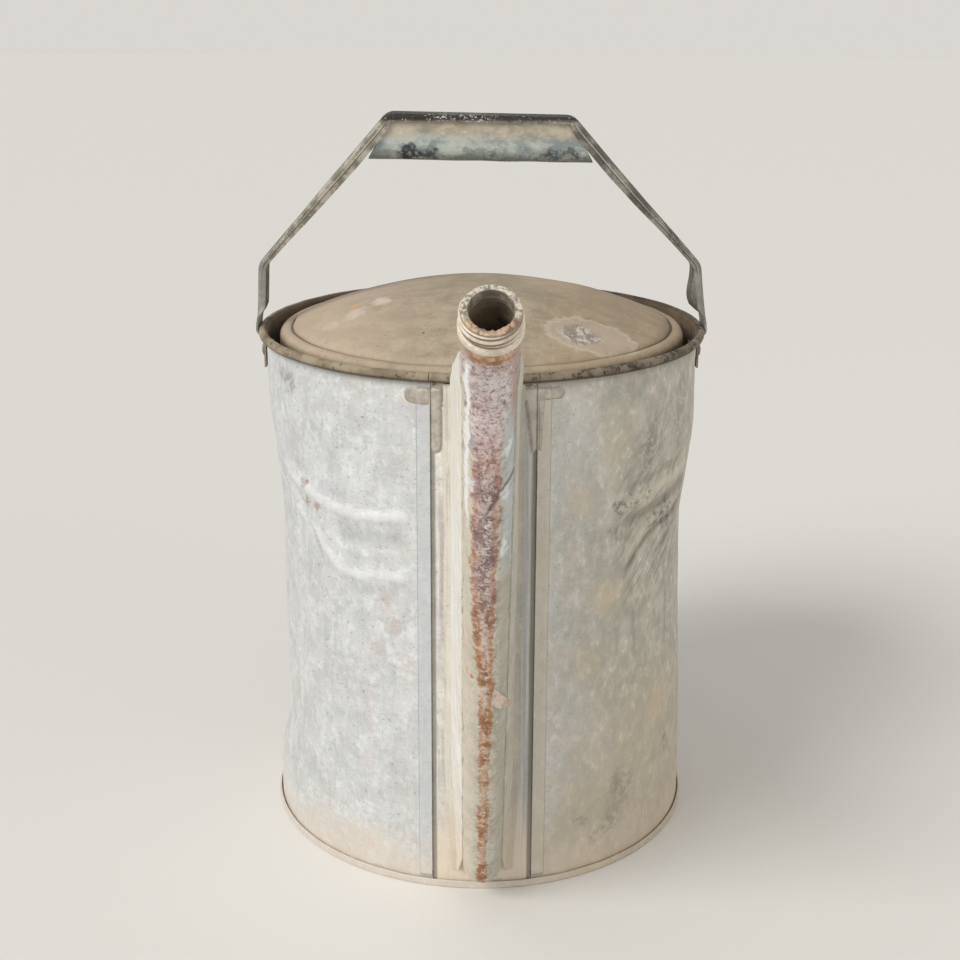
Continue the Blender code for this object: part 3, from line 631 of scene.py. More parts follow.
def body_zinc():
    paint = Paint("weathered_body_zinc")
    pale, dark, dust = (209, 211, 212), (188, 190, 191), (206, 200, 190)
    height, patch, fleck, broad = zinc_layers(paint, pale, dark, dust)
    relief, band = paint.noted("relief"), paint.noted("band")
    drift = (broad - 0.5) * 0.10 + (patch - 0.5) * 0.05
    right = (paint.x + drift).over(0.000, 0.080)
    brushed = paint.strokes(0.0030, 0.030, 6, 2.0)
    scratch = paint.strokes(0.0011, 0.016, -9, 6.0)
    slanted = paint.strokes(0.0022, 0.026, 48, 4.0)
    paint.coat(brushed.over(0.52, 0.68) * 0.16, (226, 226, 224))
    paint.coat(brushed.under(0.34, 0.46) * 0.12, (160, 163, 164))
    paint.coat(scratch.under(0.30, 0.42) * 0.20, (150, 147, 142))
    mottle = paint.lumps(0.0060, 5.0, 0.68, (1, 1, 0.7), 15.0)
    olive = paint.blend((mottle * 0.6 + patch * 0.4).over(0.38, 0.62), (154, 150, 132), (188, 181, 163))
    paint.coat(right * 0.74, olive)
    chalk = (mottle + (fleck - 0.5) * 0.5).over(0.56, 0.70)
    paint.coat(chalk * 0.40, (222, 221, 217))
    rosy = paint.lumps(0.012, 4.0, 0.6, shift=41.0).over(0.55, 0.68)
    paint.coat(rosy * 0.30, (204, 190, 180))
    greens = paint.lumps(0.022, 4.0, 0.6, shift=31.0).over(0.50, 0.66) * right
    paint.coat(greens * 0.35, (150, 152, 140))
    rear = (paint.y + drift).over(AXIS_Y + 0.02, AXIS_Y + 0.09)
    paint.coat(rear * 0.50, (172, 164, 146))
    low = (paint.z + drift * 0.6).under(0.000, 0.046)
    paint.coat(low * 0.58, (214, 200, 183))
    low_right = right * (paint.z + drift).under(0.05, 0.15)
    paint.coat(low_right * 0.40, (196, 178, 154))
    folded = right * paint.z.over(0.150, 0.175) * paint.z.under(0.240, 0.275)
    folded = folded * paint.x.over(0.066, 0.084)
    paint.coat(folded * slanted.over(0.50, 0.62) * 0.34, (204, 194, 174))
    paint.coat(folded * slanted.under(0.36, 0.48) * 0.36, (110, 104, 92))
    # Painted shade in the beaten creases and painted highlight on the ridges
    hollow = (-1 * relief).over(0.10, 0.95)
    ridge_highlight = relief.over(0.15, 1.05)
    crease_shade_tone = paint.blend(right, (150, 152, 156), (108, 101, 88))
    paint.coat(hollow * (0.36 + right * 0.14), crease_shade_tone)
    paint.coat(ridge_highlight * (0.55 - right * 0.10), paint.blend(right, (228, 229, 230), (210, 203, 184)))
    for degrees, up, radius, strength in (
        (24, 232, 0.016, 0.45), (33, 172, 0.020, 0.5), (27, 135, 0.018, 0.35),
        (35, 262, 0.020, 0.30), (56, 92, 0.022, 0.5), (-62, 96, 0.016, 0.25),
    ):
        paint.stain(on_body(degrees, up), radius, strength, (198, 182, 156), soft=0.9)
    # Dark grey marks stretched upright, broken up by a pattern, many of them near the beaten folds
    dark_mark_pattern = (fleck + (slanted - 0.5) * 0.4).over(0.42, 0.58)
    for degrees, up, radius, strength, tall in (
        (37, 224, 0.010, 0.60, 1.4), (41, 226, 0.008, 0.55, 1.0), (35.5, 209, 0.008, 0.45, 0.8),
        (46, 228, 0.008, 0.6, 1.6), (52, 209, 0.011, 0.8, 1.2), (57, 215, 0.009, 0.75, 1.0),
        (45, 250, 0.012, 0.40, 0.5), (49, 262, 0.010, 0.30, 0.5), (40, 47, 0.014, 0.30, 0.6),
        (36, 28, 0.012, 0.32, 1.2), (27, 35, 0.008, 0.30, 1.5), (31, 22, 0.007, 0.3, 1.0),
        (58, 204, 0.008, 0.75, 1.4), (62, 268, 0.016, 0.35, 0.5), (-58, 284, 0.009, 0.45, 1.0),
        (-62, 288, 0.006, 0.4, 1.0), (60, 60, 0.010, 0.35, 0.8),
    ):
        paint.stain(on_body(degrees, up), radius, strength, (78, 80, 82), (1, 1, tall), 0.7, dark_mark_pattern)
    flaked = fleck.over(0.36, 0.52)
    for degrees, up, radius, strength in (
        (-51.7, 230, 0.0045, 0.75), (-51, 221, 0.0042, 0.7), (-46.5, 219, 0.0052, 0.6),
        (-24.5, 174, 0.0080, 0.30),
        (-22, 158, 0.0070, 0.28), (-27, 143, 0.0080, 0.22), (-72, 150, 0.0080, 0.3), (66, 205, 0.0060, 0.5),
        (-30.4, 276, 0.0017, 0.9), (-40, 262, 0.0012, 0.5), (-150, 200, 0.012, 0.4), (140, 90, 0.014, 0.4),
    ):
        paint.stain(on_body(degrees, up), radius, strength, (158, 116, 96), soft=0.7, pattern=flaked)
    lap = band.over(0.15, 0.6) * (1 - low)
    band_tone = paint.blend(paint.x.over(0.0, 0.02), (186, 190, 194), (190, 182, 164))
    paint.coat(lap * 0.55, band_tone)
    # Painted shade along the bend of the joggle at the seam band's outer edge
    joggle_shade = band.over(0.04, 0.30) * band.under(0.55, 0.95)
    paint.coat(joggle_shade * 0.50, (128, 124, 122))
    # Painted shade: a darker band just under the rim's bead
    shade_below_bead = (paint.z + (patch - 0.5) * 0.004).over(RIM_HEIGHT - 0.0085, RIM_HEIGHT - 0.0030)
    paint.coat(shade_below_bead * 0.40, (124, 114, 100))
    bead = bead_layers(paint, patch, fleck)
    roughness = 0.48 + patch * 0.22 + right * 0.10
    metallic = 0.38 - right * 0.14 - bead * 0.2
    height = height + brushed * 0.12 + scratch * 0.10 + slanted * folded * 0.5
    return paint.finish(roughness, metallic, height, 0.0011)


def inner_zinc():
    paint = Paint("dark_inside_zinc")
    patch = paint.lumps(0.016, 5.0, 0.6)
    fleck = paint.lumps(0.0042, 4.0, 0.70, shift=4.0)
    runs = paint.lumps(0.008, 3.0, 0.6, (1, 1, 0.12), 2.0)
    paint.colour = paint.blend(patch.over(0.35, 0.65), (62, 50, 38), (98, 80, 60))
    paint.coat(runs.over(0.5, 0.72) * 0.6, (126, 104, 80))
    paint.coat(fleck.over(0.6, 0.72) * 0.5, (150, 132, 108))
    top = (paint.z + (patch - 0.5) * 0.010).over(RIM_HEIGHT - 0.020, RIM_HEIGHT - 0.002)
    paint.coat(top * 0.45, (138, 122, 100))
    bead_layers(paint, patch, fleck)
    # Strainer holes painted near black for the shade seen through them
    hole_shade = 0.0
    for place in strainer_places():
        hole_shade = paint.spot(place, 0.0029, soft=0.35).most(hole_shade)
    paint.coat(hole_shade, (12, 10, 9))
    return paint.finish(0.72 + fleck * 0.2, 0.15, patch * 0.4 + fleck * 0.5, 0.0010, 1.0)


def panel_zinc():
    paint = Paint("front_panel_zinc")
    pale, dark, dust = (208, 205, 199), (176, 175, 172), (208, 198, 182)
    height, patch, fleck, _ = zinc_layers(paint, pale, dark, dust)
    right = paint.x.over(0.004, 0.022)
    wiped = paint.lumps(0.0016, 4.0, 0.65, (1, 1, 0.03), 9.0)
    drawn_grey = paint.blend(wiped.over(0.40, 0.62), (152, 154, 153), (182, 182, 178))
    paint.coat(right * 0.80, drawn_grey)
    paint.coat(wiped.over(0.48, 0.62) * (1 - right) * 0.40, (224, 220, 212))
    line = abs(paint.x + 0.0226 + (fleck - 0.5) * 0.0016).under(0.0006, 0.0014)
    line = line * paint.z.over(0.150, 0.175) * paint.z.under(0.230, 0.245)
    paint.coat(line * 0.45, (158, 142, 148))
    low = (paint.z + (patch - 0.5) * 0.03).under(0.010, 0.070)
    paint.coat(low * 0.70, (214, 199, 180))
    # Painted shadow of the lapped band's edge along both sides of the panel
    edge = (abs(paint.x) + (fleck - 0.5) * 0.0004).over(0.0250, 0.0264)
    paint.coat(edge * 0.70, (104, 98, 88))
    crust = (paint.z + (patch - 0.5) * 0.006).over(RIM_HEIGHT - 0.0110, RIM_HEIGHT - 0.0040)
    crust_tone = paint.blend(fleck.over(0.44, 0.54), (88, 78, 68), (184, 164, 144))
    paint.coat(crust * 0.75, crust_tone)
    bead_layers(paint, patch, fleck)
    return paint.finish(0.55 + patch * 0.2, 0.32, height, 0.0010, 1.22)


def gusset_zinc(name, pale, dark, warm):
    paint = Paint(name)
    height, patch, _, broad = zinc_layers(paint, pale, dark, warm)
    wiped = paint.lumps(0.0020, 4.0, 0.65, (1, 1, 0.03), 9.0)
    paint.coat(wiped.over(0.45, 0.62) * 0.50, warm)
    paint.coat(wiped.under(0.38, 0.47) * 0.40, (158, 152, 142))
    high = (paint.z + (broad - 0.5) * 0.05).over(0.235, 0.300)
    paint.coat(high * 0.20, (204, 202, 190))
    low = (paint.z + (patch - 0.5) * 0.03).under(0.015, 0.080)
    paint.coat(low * 0.6, (214, 198, 176))
    mark = paint.spot((-0.0143, AXIS_Y - 0.195, 0.297), 0.0052, soft=0.8)
    paint.coat(mark * 0.8, (184, 124, 76))
    flange = paint.y.over(AXIS_Y - 0.1300, AXIS_Y - 0.1284)
    paint.coat(flange * 0.35, (160, 152, 138))
    return paint.finish(0.52 + patch * 0.2, 0.28, height * 0.6 + wiped * 0.30, 0.0008)


def hood_dust():
    paint = Paint("dusty_hood_zinc")
    broad = paint.lumps(0.055, 3.0)
    patch = paint.lumps(0.014, 5.0, 0.62, shift=2.0)
    fleck = paint.lumps(0.0030, 4.0, 0.66, shift=6.0)
    grit = paint.lumps(0.0012, 2.0, 0.6, shift=9.0)
    wiped = paint.lumps(0.010, 4.0, 0.62, (0.22, 1, 1), 4.0)
    tone = (patch * 0.6 + broad * 0.4).over(0.38, 0.62)
    paint.colour = paint.blend(tone, (138, 126, 108), (164, 150, 130))
    paint.coat(wiped.over(0.45, 0.70) * 0.40, (162, 152, 136))
    left = (paint.x + (broad - 0.5) * 0.12).under(-0.105, -0.010)
    paint.coat(left * 0.60, (186, 167, 148))
    right = (paint.x + (broad - 0.5) * 0.10).over(0.010, 0.070)
    paint.coat(right * 0.45, (146, 124, 100))
    rear = (paint.y - AXIS_Y + (broad - 0.5) * 0.06).over(0.000, 0.055)
    paint.coat(rear * 0.65, (120, 109, 91))
    for centre, radius, strength in (
        ((0.030, -0.020, 0.325), 0.045, 0.30), ((-0.020, 0.000, 0.328), 0.040, 0.25),
        ((0.078, -0.052, 0.312), 0.016, 0.45),
    ):
        paint.stain(in_place(centre), radius, strength, (132, 126, 104), soft=0.9)
    paint.coat(fleck.over(0.56, 0.72) * 0.28, (194, 182, 162))
    paint.coat((grit + (fleck - 0.5) * 0.5).under(0.26, 0.36) * 0.5, (96, 82, 66))
    centre = (0.059, AXIS_Y - 0.073, 0.313)
    splash = paint.spot(centre, 0.0250, (0.85, 1.15, 1), 0.18)
    inside = paint.spot((0.053, AXIS_Y - 0.074, 0.313), 0.015, (1, 1.1, 1), 0.5)
    veins = paint.lumps(0.0055, 5.0, 0.75, (1, 1, 1), 12.0, paint.ragged).over(0.44, 0.55)
    paint.coat(splash * 0.50, (172, 160, 146))
    outline = splash * (1 - paint.spot(centre, 0.0225, (0.85, 1.15, 1), 0.18))
    paint.coat(outline * 0.45, (196, 182, 164))
    paint.coat(inside * veins * 0.65, (198, 192, 186))
    paint.coat(inside * (1 - veins) * 0.70, (124, 114, 106))
    for centre, radius, stretch, tone, strength in (
        ((0.0625, -0.0795, 0.312), 0.0026, (1, 1, 1), (196, 124, 62), 0.95),
        ((0.0660, -0.0800, 0.312), 0.0012, (1, 1, 1), (90, 70, 56), 0.8),
        ((-0.073, -0.036, 0.317), 0.010, (1.2, 0.8, 1), (194, 180, 164), 0.70),
        ((-0.058, -0.025, 0.322), 0.008, (1, 0.8, 1), (200, 188, 172), 0.65),
        ((-0.086, -0.044, 0.313), 0.007, (1, 0.8, 1), (190, 176, 160), 0.50),
        ((-0.074, -0.022, 0.319), 0.0050, (1, 0.8, 1), (192, 148, 100), 0.65),
        ((-0.032, -0.081, 0.316), 0.0016, (1.6, 0.7, 1), (64, 56, 46), 0.95),
        ((0.040, 0.020, 0.326), 0.030, (1, 0.6, 1), (176, 158, 134), 0.35),
    ):
        paint.stain(in_place(centre), radius, strength, tone, stretch)
    # Painted shade in the groove at the dome's step
    step = paint.noted("step")
    paint.coat(step.over(0.15, 0.7) * 0.80, (80, 68, 54))
    # Painted shade on the shoulder where it turns down to the rim, darkest in the trough
    drop = (paint.z + (patch - 0.5) * 0.0016).under(0.2992, 0.3042)
    paint.coat(drop * 0.85, (86, 70, 52))
    trough_shade = (paint.z + (patch - 0.5) * 0.003).under(0.2880, 0.2980)
    paint.coat(trough_shade * 0.80, (64, 50, 36))
    height = patch * 0.30 + fleck * 0.35 + grit * 0.15 + inside * veins * 0.5
    return paint.finish(0.66 + patch * 0.18, 0.22, height, 0.0008, 1.30)


def tube_rust():
    paint = Paint("rusted_spout_tube")
    patch = paint.lumps(0.0085, 5.0, 0.68, (1, 1, 0.7))
    fleck = paint.lumps(0.0026, 4.0, 0.72, shift=5.0)
    grit = paint.lumps(0.0011, 3.0, 0.68, shift=8.0)
    zinc = paint.blend(patch.over(0.4, 0.6), (168, 163, 150), (194, 189, 176))
    zinc = zinc.coat(fleck.over(0.55, 0.68) * 0.55, (224, 224, 220))
    zinc = zinc.coat(fleck.under(0.36, 0.44) * 0.45, (118, 108, 92))
    left = paint.x.under(-0.0090, -0.0010)
    zinc = zinc.coat(left * 0.6, (212, 202, 184))
    up = paint.z * 2.5
    widths = ((0.0, 0.18), (0.30, 0.22), (0.42, 0.28), (0.52, 0.36), (0.62, 0.47), (0.78, 0.52), (0.88, 0.95))
    places = ((0.0, 0.47), (0.25, 0.50), (0.45, 0.50), (0.55, 0.42), (0.70, 0.43), (0.82, 0.50))
    wide, centre = paint.bands(up, widths), paint.bands(up, places)
    off = abs(paint.x - (centre - 0.5) * 0.020) + (patch - 0.5) * 0.0070 + (fleck - 0.5) * 0.0040
    strip = (off - wide * 0.0125).under(-0.0012, 0.0008)
    upper = (paint.z + (patch - 0.5) * 0.03).over(0.285, 0.325)
    middle = (paint.z + (patch - 0.5) * 0.05).over(0.195, 0.245)
    orange = paint.blend(patch.over(0.38, 0.62), (142, 100, 66), (184, 138, 98))
    mauve = paint.blend(patch.over(0.36, 0.62), (132, 110, 110), (184, 156, 150))
    lilac = paint.blend(patch.over(0.36, 0.62), (176, 158, 158), (208, 197, 197))
    rust = paint.blend(middle, orange, mauve)
    rust = rust.coat(upper, lilac)
    red = paint.spot(on_spout(0.310, 0.002, -0.011), 0.020, soft=0.8)
    rust = rust.coat(red * 0.40, (180, 132, 122))
    dark = paint.spot(on_spout(0.270, -0.002, -0.011), 0.014, (1.8, 1, 0.8), 0.7)
    rust = rust.coat(dark * 0.55 * fleck.over(0.40, 0.56), (92, 74, 80))
    grey_middle = abs(paint.x + (patch - 0.5) * 0.006).under(0.0008, 0.0030) * (1 - upper)
    rust = rust.coat(grey_middle * (patch + (fleck - 0.5) * 0.6).over(0.42, 0.58) * 0.65, (196, 190, 182))
    rust = rust.coat((fleck + (grit - 0.5) * 0.4).over(0.52, 0.62) * 0.55, (222, 216, 212))
    pitted = (fleck + (grit - 0.5) * 0.7).under(0.38, 0.46)
    rust = rust.coat(pitted * (0.25 + middle * 0.35), (86, 68, 64))
    warm = paint.lumps(0.006, 4.0, 0.65, shift=14.0).over(0.54, 0.66)
    rust = rust.coat(warm * 0.38, (168, 122, 84))
    paint.colour = paint.blend(strip, zinc, rust)
    rim = (off - wide * 0.0125).over(-0.0030, -0.0008) * strip * (1 - upper)
    paint.coat(rim * 0.40, (176, 122, 80))
    # Painted highlight along the tube's right edge over bare zinc, bluer higher up
    cool = (paint.x + (patch - 0.5) * 0.004).over(0.0050, 0.0080) * paint.z.under(0.325, 0.340)
    highlight_tint = (paint.z + (patch - 0.5) * 0.05).over(0.235, 0.265)
    paint.coat(cool * 0.60, paint.blend(highlight_tint, (172, 170, 156), (182, 190, 194)))
    side = (paint.x + (patch - 0.5) * 0.003).over(0.0078, 0.0100) * paint.z.over(0.318, 0.335)
    paint.coat(side * 0.65, (164, 136, 116))
    slit = abs(paint.z - 0.2815 - paint.x * 1.7 + (fleck - 0.5) * 0.004).under(0.0008, 0.0024)
    slit = slit * paint.x.over(-0.0035, 0.0010)
    paint.coat(slit * 0.65, (84, 66, 64))
    # The first three bluish white spots on the right edge are painted highlight over bare zinc; the rest are
    # stains
    for z, x, radius, stretch, tone, strength in (
        (0.290, 0.0072, 0.0048, (1, 1, 0.8), (222, 226, 230), 0.85),
        (0.262, 0.0080, 0.0050, (1.8, 1, 0.5), (226, 228, 226), 0.80),
        (0.312, 0.0085, 0.0050, (1.8, 1, 0.6), (222, 228, 232), 0.80),
        (0.294, -0.0078, 0.0042, (1.2, 1, 0.7), (214, 218, 220), 0.80),
        (0.316, -0.0088, 0.0040, (1.2, 1, 0.7), (150, 156, 162), 0.70),
        (0.172, -0.0020, 0.0050, (0.8, 1, 1), (212, 206, 196), 0.60),
        (0.200, 0.0020, 0.0040, (1, 1, 0.8), (206, 198, 188), 0.50),
        (0.100, 0.0000, 0.0045, (1.6, 1, 0.5), (190, 182, 168), 0.45),
        (0.162, 0.0060, 0.0040, (1, 1, 1), (170, 106, 58), 0.70),
        (0.180, -0.0085, 0.0028, (1, 1, 1), (180, 116, 66), 0.80),
    ):
        paint.stain(on_spout(z, x, -0.009), radius, strength, tone, stretch)
    edge_place = paint.z.over(0.262, 0.285) * paint.z.under(0.352, 0.358)
    worn = abs(paint.x + 0.0092 + (patch - 0.5) * 0.006 + (fleck - 0.5) * 0.002).under(0.0004, 0.0013)
    paint.coat(worn * edge_place * 0.85, (238, 236, 234))
    roughness = 0.62 + strip * 0.20
    height = fleck * 0.50 + grit * 0.28 + patch * 0.5 + strip * 0.35
    return paint.finish(roughness, 0.28 - strip * 0.20, height, 0.0013)


def sleeve_rust():
    paint = Paint("orange_brown_band")
    patch = paint.lumps(0.008, 5.0, 0.65)
    fleck = paint.lumps(0.0022, 4.0, 0.7, shift=5.0)
    paint.colour = paint.blend(patch.over(0.38, 0.6), (148, 110, 82), (204, 170, 138))
    paint.coat(fleck.over(0.54, 0.66) * 0.5, (216, 196, 180))
    side = abs(paint.x).over(0.006, 0.011)
    paint.coat(side * 0.75, (178, 158, 152))
    paint.coat(fleck.under(0.34, 0.42) * 0.55, (82, 56, 44))
    return paint.finish(0.78, 0.12, patch * 0.4 + fleck * 0.5, 0.0009)


def ring_cream():
    paint = Paint("chalky_ring")
    patch = paint.lumps(0.006, 5.0, 0.62)
    fleck = paint.lumps(0.0018, 4.0, 0.7, shift=4.0)
    mouth, out = spout_mouth()
    down = (0, -math.sin(MOUTH_SLOPE), -math.cos(MOUTH_SLOPE))
    far = paint.vector("SUBTRACT", paint.place, tuple(mouth))
    rise = paint.vector("DOT_PRODUCT", far, tuple(out), output=1)
    ahead = paint.vector("DOT_PRODUCT", far, down, output=1)
    paint.colour = paint.blend(patch.over(0.38, 0.62), (196, 186, 168), (224, 214, 198))
    paint.coat(fleck.over(0.56, 0.70) * 0.5, (240, 234, 224))
    paint.coat(fleck.under(0.34, 0.42) * 0.4, (120, 104, 86))
    top = RING_HEIGHT - RING_SOCKET + GAP
    lip = (rise + (fleck - 0.5) * 0.0012).over(top - 0.0014, top - 0.0003)
    front = (ahead + (patch - 0.5) * 0.006).over(0.000, 0.007)
    chipped = paint.blend(patch.over(0.42, 0.58), (112, 84, 62), (198, 170, 138))
    worn = paint.blend(fleck.over(0.44, 0.54), (84, 78, 72), (200, 192, 178))
    paint.coat(lip * 0.75, worn)
    paint.coat(lip * front * 0.85, chipped)
    off_axis = paint.vector("LENGTH", paint.vector("CROSS_PRODUCT", far, tuple(out)), (0, 0, 0), output=1)
    inside = off_axis.under(RING_BORE + 0.0001, RING_BORE + 0.0006)
    bands = paint.lumps(0.0016, 2.0, 0.5, (0.1, 0.7, 0.7), 2.0)
    bore = paint.blend(bands.over(0.42, 0.58), (112, 106, 92), (168, 160, 142))
    paint.coat(inside * (1 - front) * 0.85, bore)
    paint.coat(inside * front * 0.80, (150, 98, 58))
    groove = off_axis.under(RING_OUTER - 0.0001, RING_OUTER + 0.0005)
    paint.coat(groove * (1 - inside) * (1 - lip) * 0.85, (108, 82, 60))
    return paint.finish(0.62, 0.25, patch * 0.3 + fleck * 0.5, 0.0006)


def dull_solder():
    paint = Paint("dull_solder")
    patch = paint.lumps(0.006, 4.0, 0.6)
    fleck = paint.lumps(0.0016, 3.0, 0.65, shift=3.0)
    paint.colour = paint.blend(patch.over(0.36, 0.62), (158, 152, 143), (182, 176, 166))
    paint.coat(fleck.under(0.34, 0.44) * 0.35, (120, 110, 98))
    outline = (paint.noted("depth") + (fleck - 0.5) * 0.3).under(0.05, 0.45)
    paint.coat(outline * 0.42, (140, 120, 98))
    return paint.finish(0.50 + fleck * 0.15, 0.32, patch * 0.4 + fleck * 0.3, 0.0006)


def strap_grey():
    paint = Paint("dark_worn_strap")
    patch = paint.lumps(0.012, 5.0, 0.62)
    fleck = paint.lumps(0.0024, 4.0, 0.72, shift=5.0)
    grit = paint.lumps(0.0012, 3.0, 0.65, shift=8.0)
    lines = paint.lumps(0.0012, 3.0, 0.6, (0.12, 1.6, 0.12), 4.0)
    right = paint.x.over(-0.01, 0.08)
    left_tone = paint.blend((patch + (lines - 0.5)).over(0.36, 0.66), (118, 114, 104), (168, 162, 150))
    right_tone = paint.blend((patch + (lines - 0.5)).over(0.36, 0.66), (88, 86, 82), (140, 136, 128))
    paint.colour = paint.blend(right, left_tone, right_tone)
    paint.coat((fleck + (lines - 0.5) * 0.5).over(0.60, 0.70) * 0.45, (184, 182, 174))
    paint.coat((fleck + (grit - 0.5) * 0.5).under(0.33, 0.42) * 0.50, (54, 50, 46))
    leg = paint.z.under(0.330, 0.352)
    paint.coat(leg * 0.55, (146, 146, 142))
    # Painted highlight along the lip of each flange's groove and painted shade in the groove
    groove, bright = paint.noted("groove"), paint.noted("bright")
    paint.coat(bright.over(0.35, 0.9) * 0.55, (200, 196, 184))
    paint.coat(groove.over(0.35, 0.9) * 0.85, (34, 31, 29))
    top = (paint.z + (fleck - 0.5) * 0.0014).over(HANDLE_TOP - 0.0050, HANDLE_TOP - 0.0022)
    worn = abs(paint.x + 0.012).under(0.010, 0.030)
    pale = (grit + (fleck - 0.5) * 0.7 + worn * 0.10).over(0.64, 0.72)
    black = paint.blend(pale, (34, 30, 28), (176, 174, 170))
    paint.coat(top * 0.94, black)
    foot = (paint.z + (patch - 0.5) * 0.01).under(0.290, 0.308)
    paint.coat(foot * 0.6 * patch.over(0.35, 0.6), (134, 100, 74))
    height = patch * 0.25 + fleck * 0.40 + grit * 0.2 + lines * 0.25
    return paint.finish(0.48 + patch * 0.25, 0.42, height, 0.0007)


def grip_grey():
    paint = Paint("worn_grip_sheet")
    patch = paint.lumps(0.011, 5.0, 0.65, (0.6, 1, 1))
    fleck = paint.lumps(0.0030, 4.0, 0.72, shift=5.0)
    grit = paint.lumps(0.0012, 3.0, 0.65, shift=8.0)
    tall = (paint.z + (patch - 0.5) * 0.016 + paint.x * 0.04).over(HANDLE_TOP - 0.0165, HANDLE_TOP - 0.0085)
    cool = paint.blend(patch.over(0.38, 0.62), (128, 138, 138), (176, 182, 177))
    warm = paint.blend(patch.over(0.38, 0.62), (148, 140, 124), (178, 170, 154))
    paint.colour = paint.blend(tall, cool, warm)
    paint.coat(fleck.over(0.56, 0.68) * 0.45, (198, 200, 194))
    blotchy = (fleck + (patch - 0.5)).over(0.30, 0.50)
    for x, radius, strength in (
        (-0.042, 0.0075, 0.95), (-0.030, 0.0055, 0.85), (-0.008, 0.0034, 0.4), (0.006, 0.0034, 0.35),
        (0.040, 0.0065, 0.85), (0.051, 0.0050, 0.75),
    ):
        centre = in_place((x, -0.0088, HANDLE_TOP - 0.0215))
        paint.stain(centre, radius, strength, (46, 50, 56), (0.8, 1, 1), 0.5, blotchy)
    low = (paint.z + (patch - 0.5) * 0.006).under(HANDLE_TOP - 0.0248, HANDLE_TOP - 0.0205)
    paint.coat(low * (fleck + (patch - 0.5)).over(0.42, 0.60) * 0.60, (56, 58, 60))
    paint.coat(grit.under(0.30, 0.38) * 0.4, (60, 58, 54))
    return paint.finish(0.46 + patch * 0.2, 0.38, patch * 0.35 + fleck * 0.4 + grit * 0.15, 0.0008, 1.20)


def rim_wire_rust():
    paint = Paint("rusty_rim_wire")
    fleck = paint.lumps(0.003, 4.0, 0.7)
    paint.colour = paint.blend(fleck.over(0.4, 0.6), (92, 64, 44), (140, 104, 74))
    return paint.finish(0.8, 0.2, fleck, 0.0006)


# The spout's line


def strainer_places():
    """The middle and ring of strainer holes in the panel, behind the spout's heel."""
    middle = Vector((0, AXIS_Y - wall_radius(HEEL_HEIGHT), HEEL_HEIGHT))
    ring = [(0.0062 * math.cos(math.pi * i / 3), 0.0062 * math.sin(math.pi * i / 3)) for i in range(6)]
    return [middle + Vector((x, 0, z)) for x, z in [(0, 0)] + ring]


def heel_face():
    """Y of the tube's open heel, against the front panel."""
    return -(wall_radius(HEEL_HEIGHT) + SHEET / 2 + GAP)


def spout_point(z):
    """The straight stretch's centre at height z, as (y, z)."""
    corner_y = heel_face() - HEEL_STUB - HEEL_BEND * math.tan(SPOUT_SLOPE / 2)
    return Vector((corner_y - (z - HEEL_HEIGHT) / math.tan(SPOUT_SLOPE), z))


def on_spout(z, x, forward):
    """A point in the model's own place, at height z and this far aside and in front of the spout's line."""
    return in_place((x, spout_point(z).x + forward, z))


def spout_route(steps):
    """The tube's centre line as (y, z) points, from its heel at the panel up to its mouth."""
    along = Vector((-math.cos(SPOUT_SLOPE), math.sin(SPOUT_SLOPE)))
    heel = spout_point(HEEL_HEIGHT)
    bend = heel + along * (HEEL_BEND * math.tan(SPOUT_SLOPE / 2) + SPOUT_STRAIGHT)
    reach = MOUTH_BEND * math.tan((SPOUT_SLOPE - MOUTH_SLOPE) / 2)
    out = Vector((-math.cos(MOUTH_SLOPE), math.sin(MOUTH_SLOPE)))
    bend += along * reach
    mouth = bend + out * (reach + MOUTH_STRAIGHT)
    corners = [(heel_face(), HEEL_HEIGHT), heel, bend, mouth]
    return rounded_path(corners, (HEEL_BEND, MOUTH_BEND), steps)


def spout_mouth():
    """The tube's mouth and the way it faces, in the model's own place."""
    end = spout_route(5)[-1]
    return in_place((0, end.x, end.y)), Vector((0, -math.cos(MOUTH_SLOPE), math.sin(MOUTH_SLOPE)))


def tube_swell(z):
    """How much wider the tube and the gussets' crests get under the sleeve."""
    return TUBE_SWELL * smooth_step(z, 0.336, 0.352)


def spout_axis(point):
    """The nearest place on the spout's line at this point's height."""
    return Vector((0, spout_point(point.z).x, point.z))


# Pieces


def wall_rows(step):
    """Heights up the wall, with more rows by the hem and by the rim."""
    marks = [BAND_FADED, BAND_FULL, 0.014]
    marks = [WALL_BOTTOM] + marks + [RIM_HEIGHT - mark for mark in reversed(marks)]
    rows = [marks[0]]
    for low, high in zip(marks, marks[1:]):
        count = max(1, round((high - low) / step))
        rows += [low + (high - low) * (i + 1) / count for i in range(count)]
    return rows


def curl_profile():
    """The sheet's turn over the wire, from the wall over the top to its outer lower edge."""
    return arc((RIM_RADIUS, RIM_HEIGHT), CURL_RADIUS, math.pi, CURL_END, CURL_STEPS)


def band_share(z):
    """1 where the seam bands stand out over the front panel's edges, 0 by the rim and the hem."""
    low = smooth_step(z, BAND_FADED, BAND_FULL)
    return low * (1 - smooth_step(z, RIM_HEIGHT - BAND_FULL, RIM_HEIGHT - BAND_FADED))


def settle_curl(vert, angle):
    """Lowers the curl a little below its plain line, unevenly along the rim."""
    if vert.co.z > RIM_HEIGHT - 0.004:
        vert.co.z += lump((angle * 0.1, 0, 0), 0.012, 2.0) * 0.00025 - 0.00030


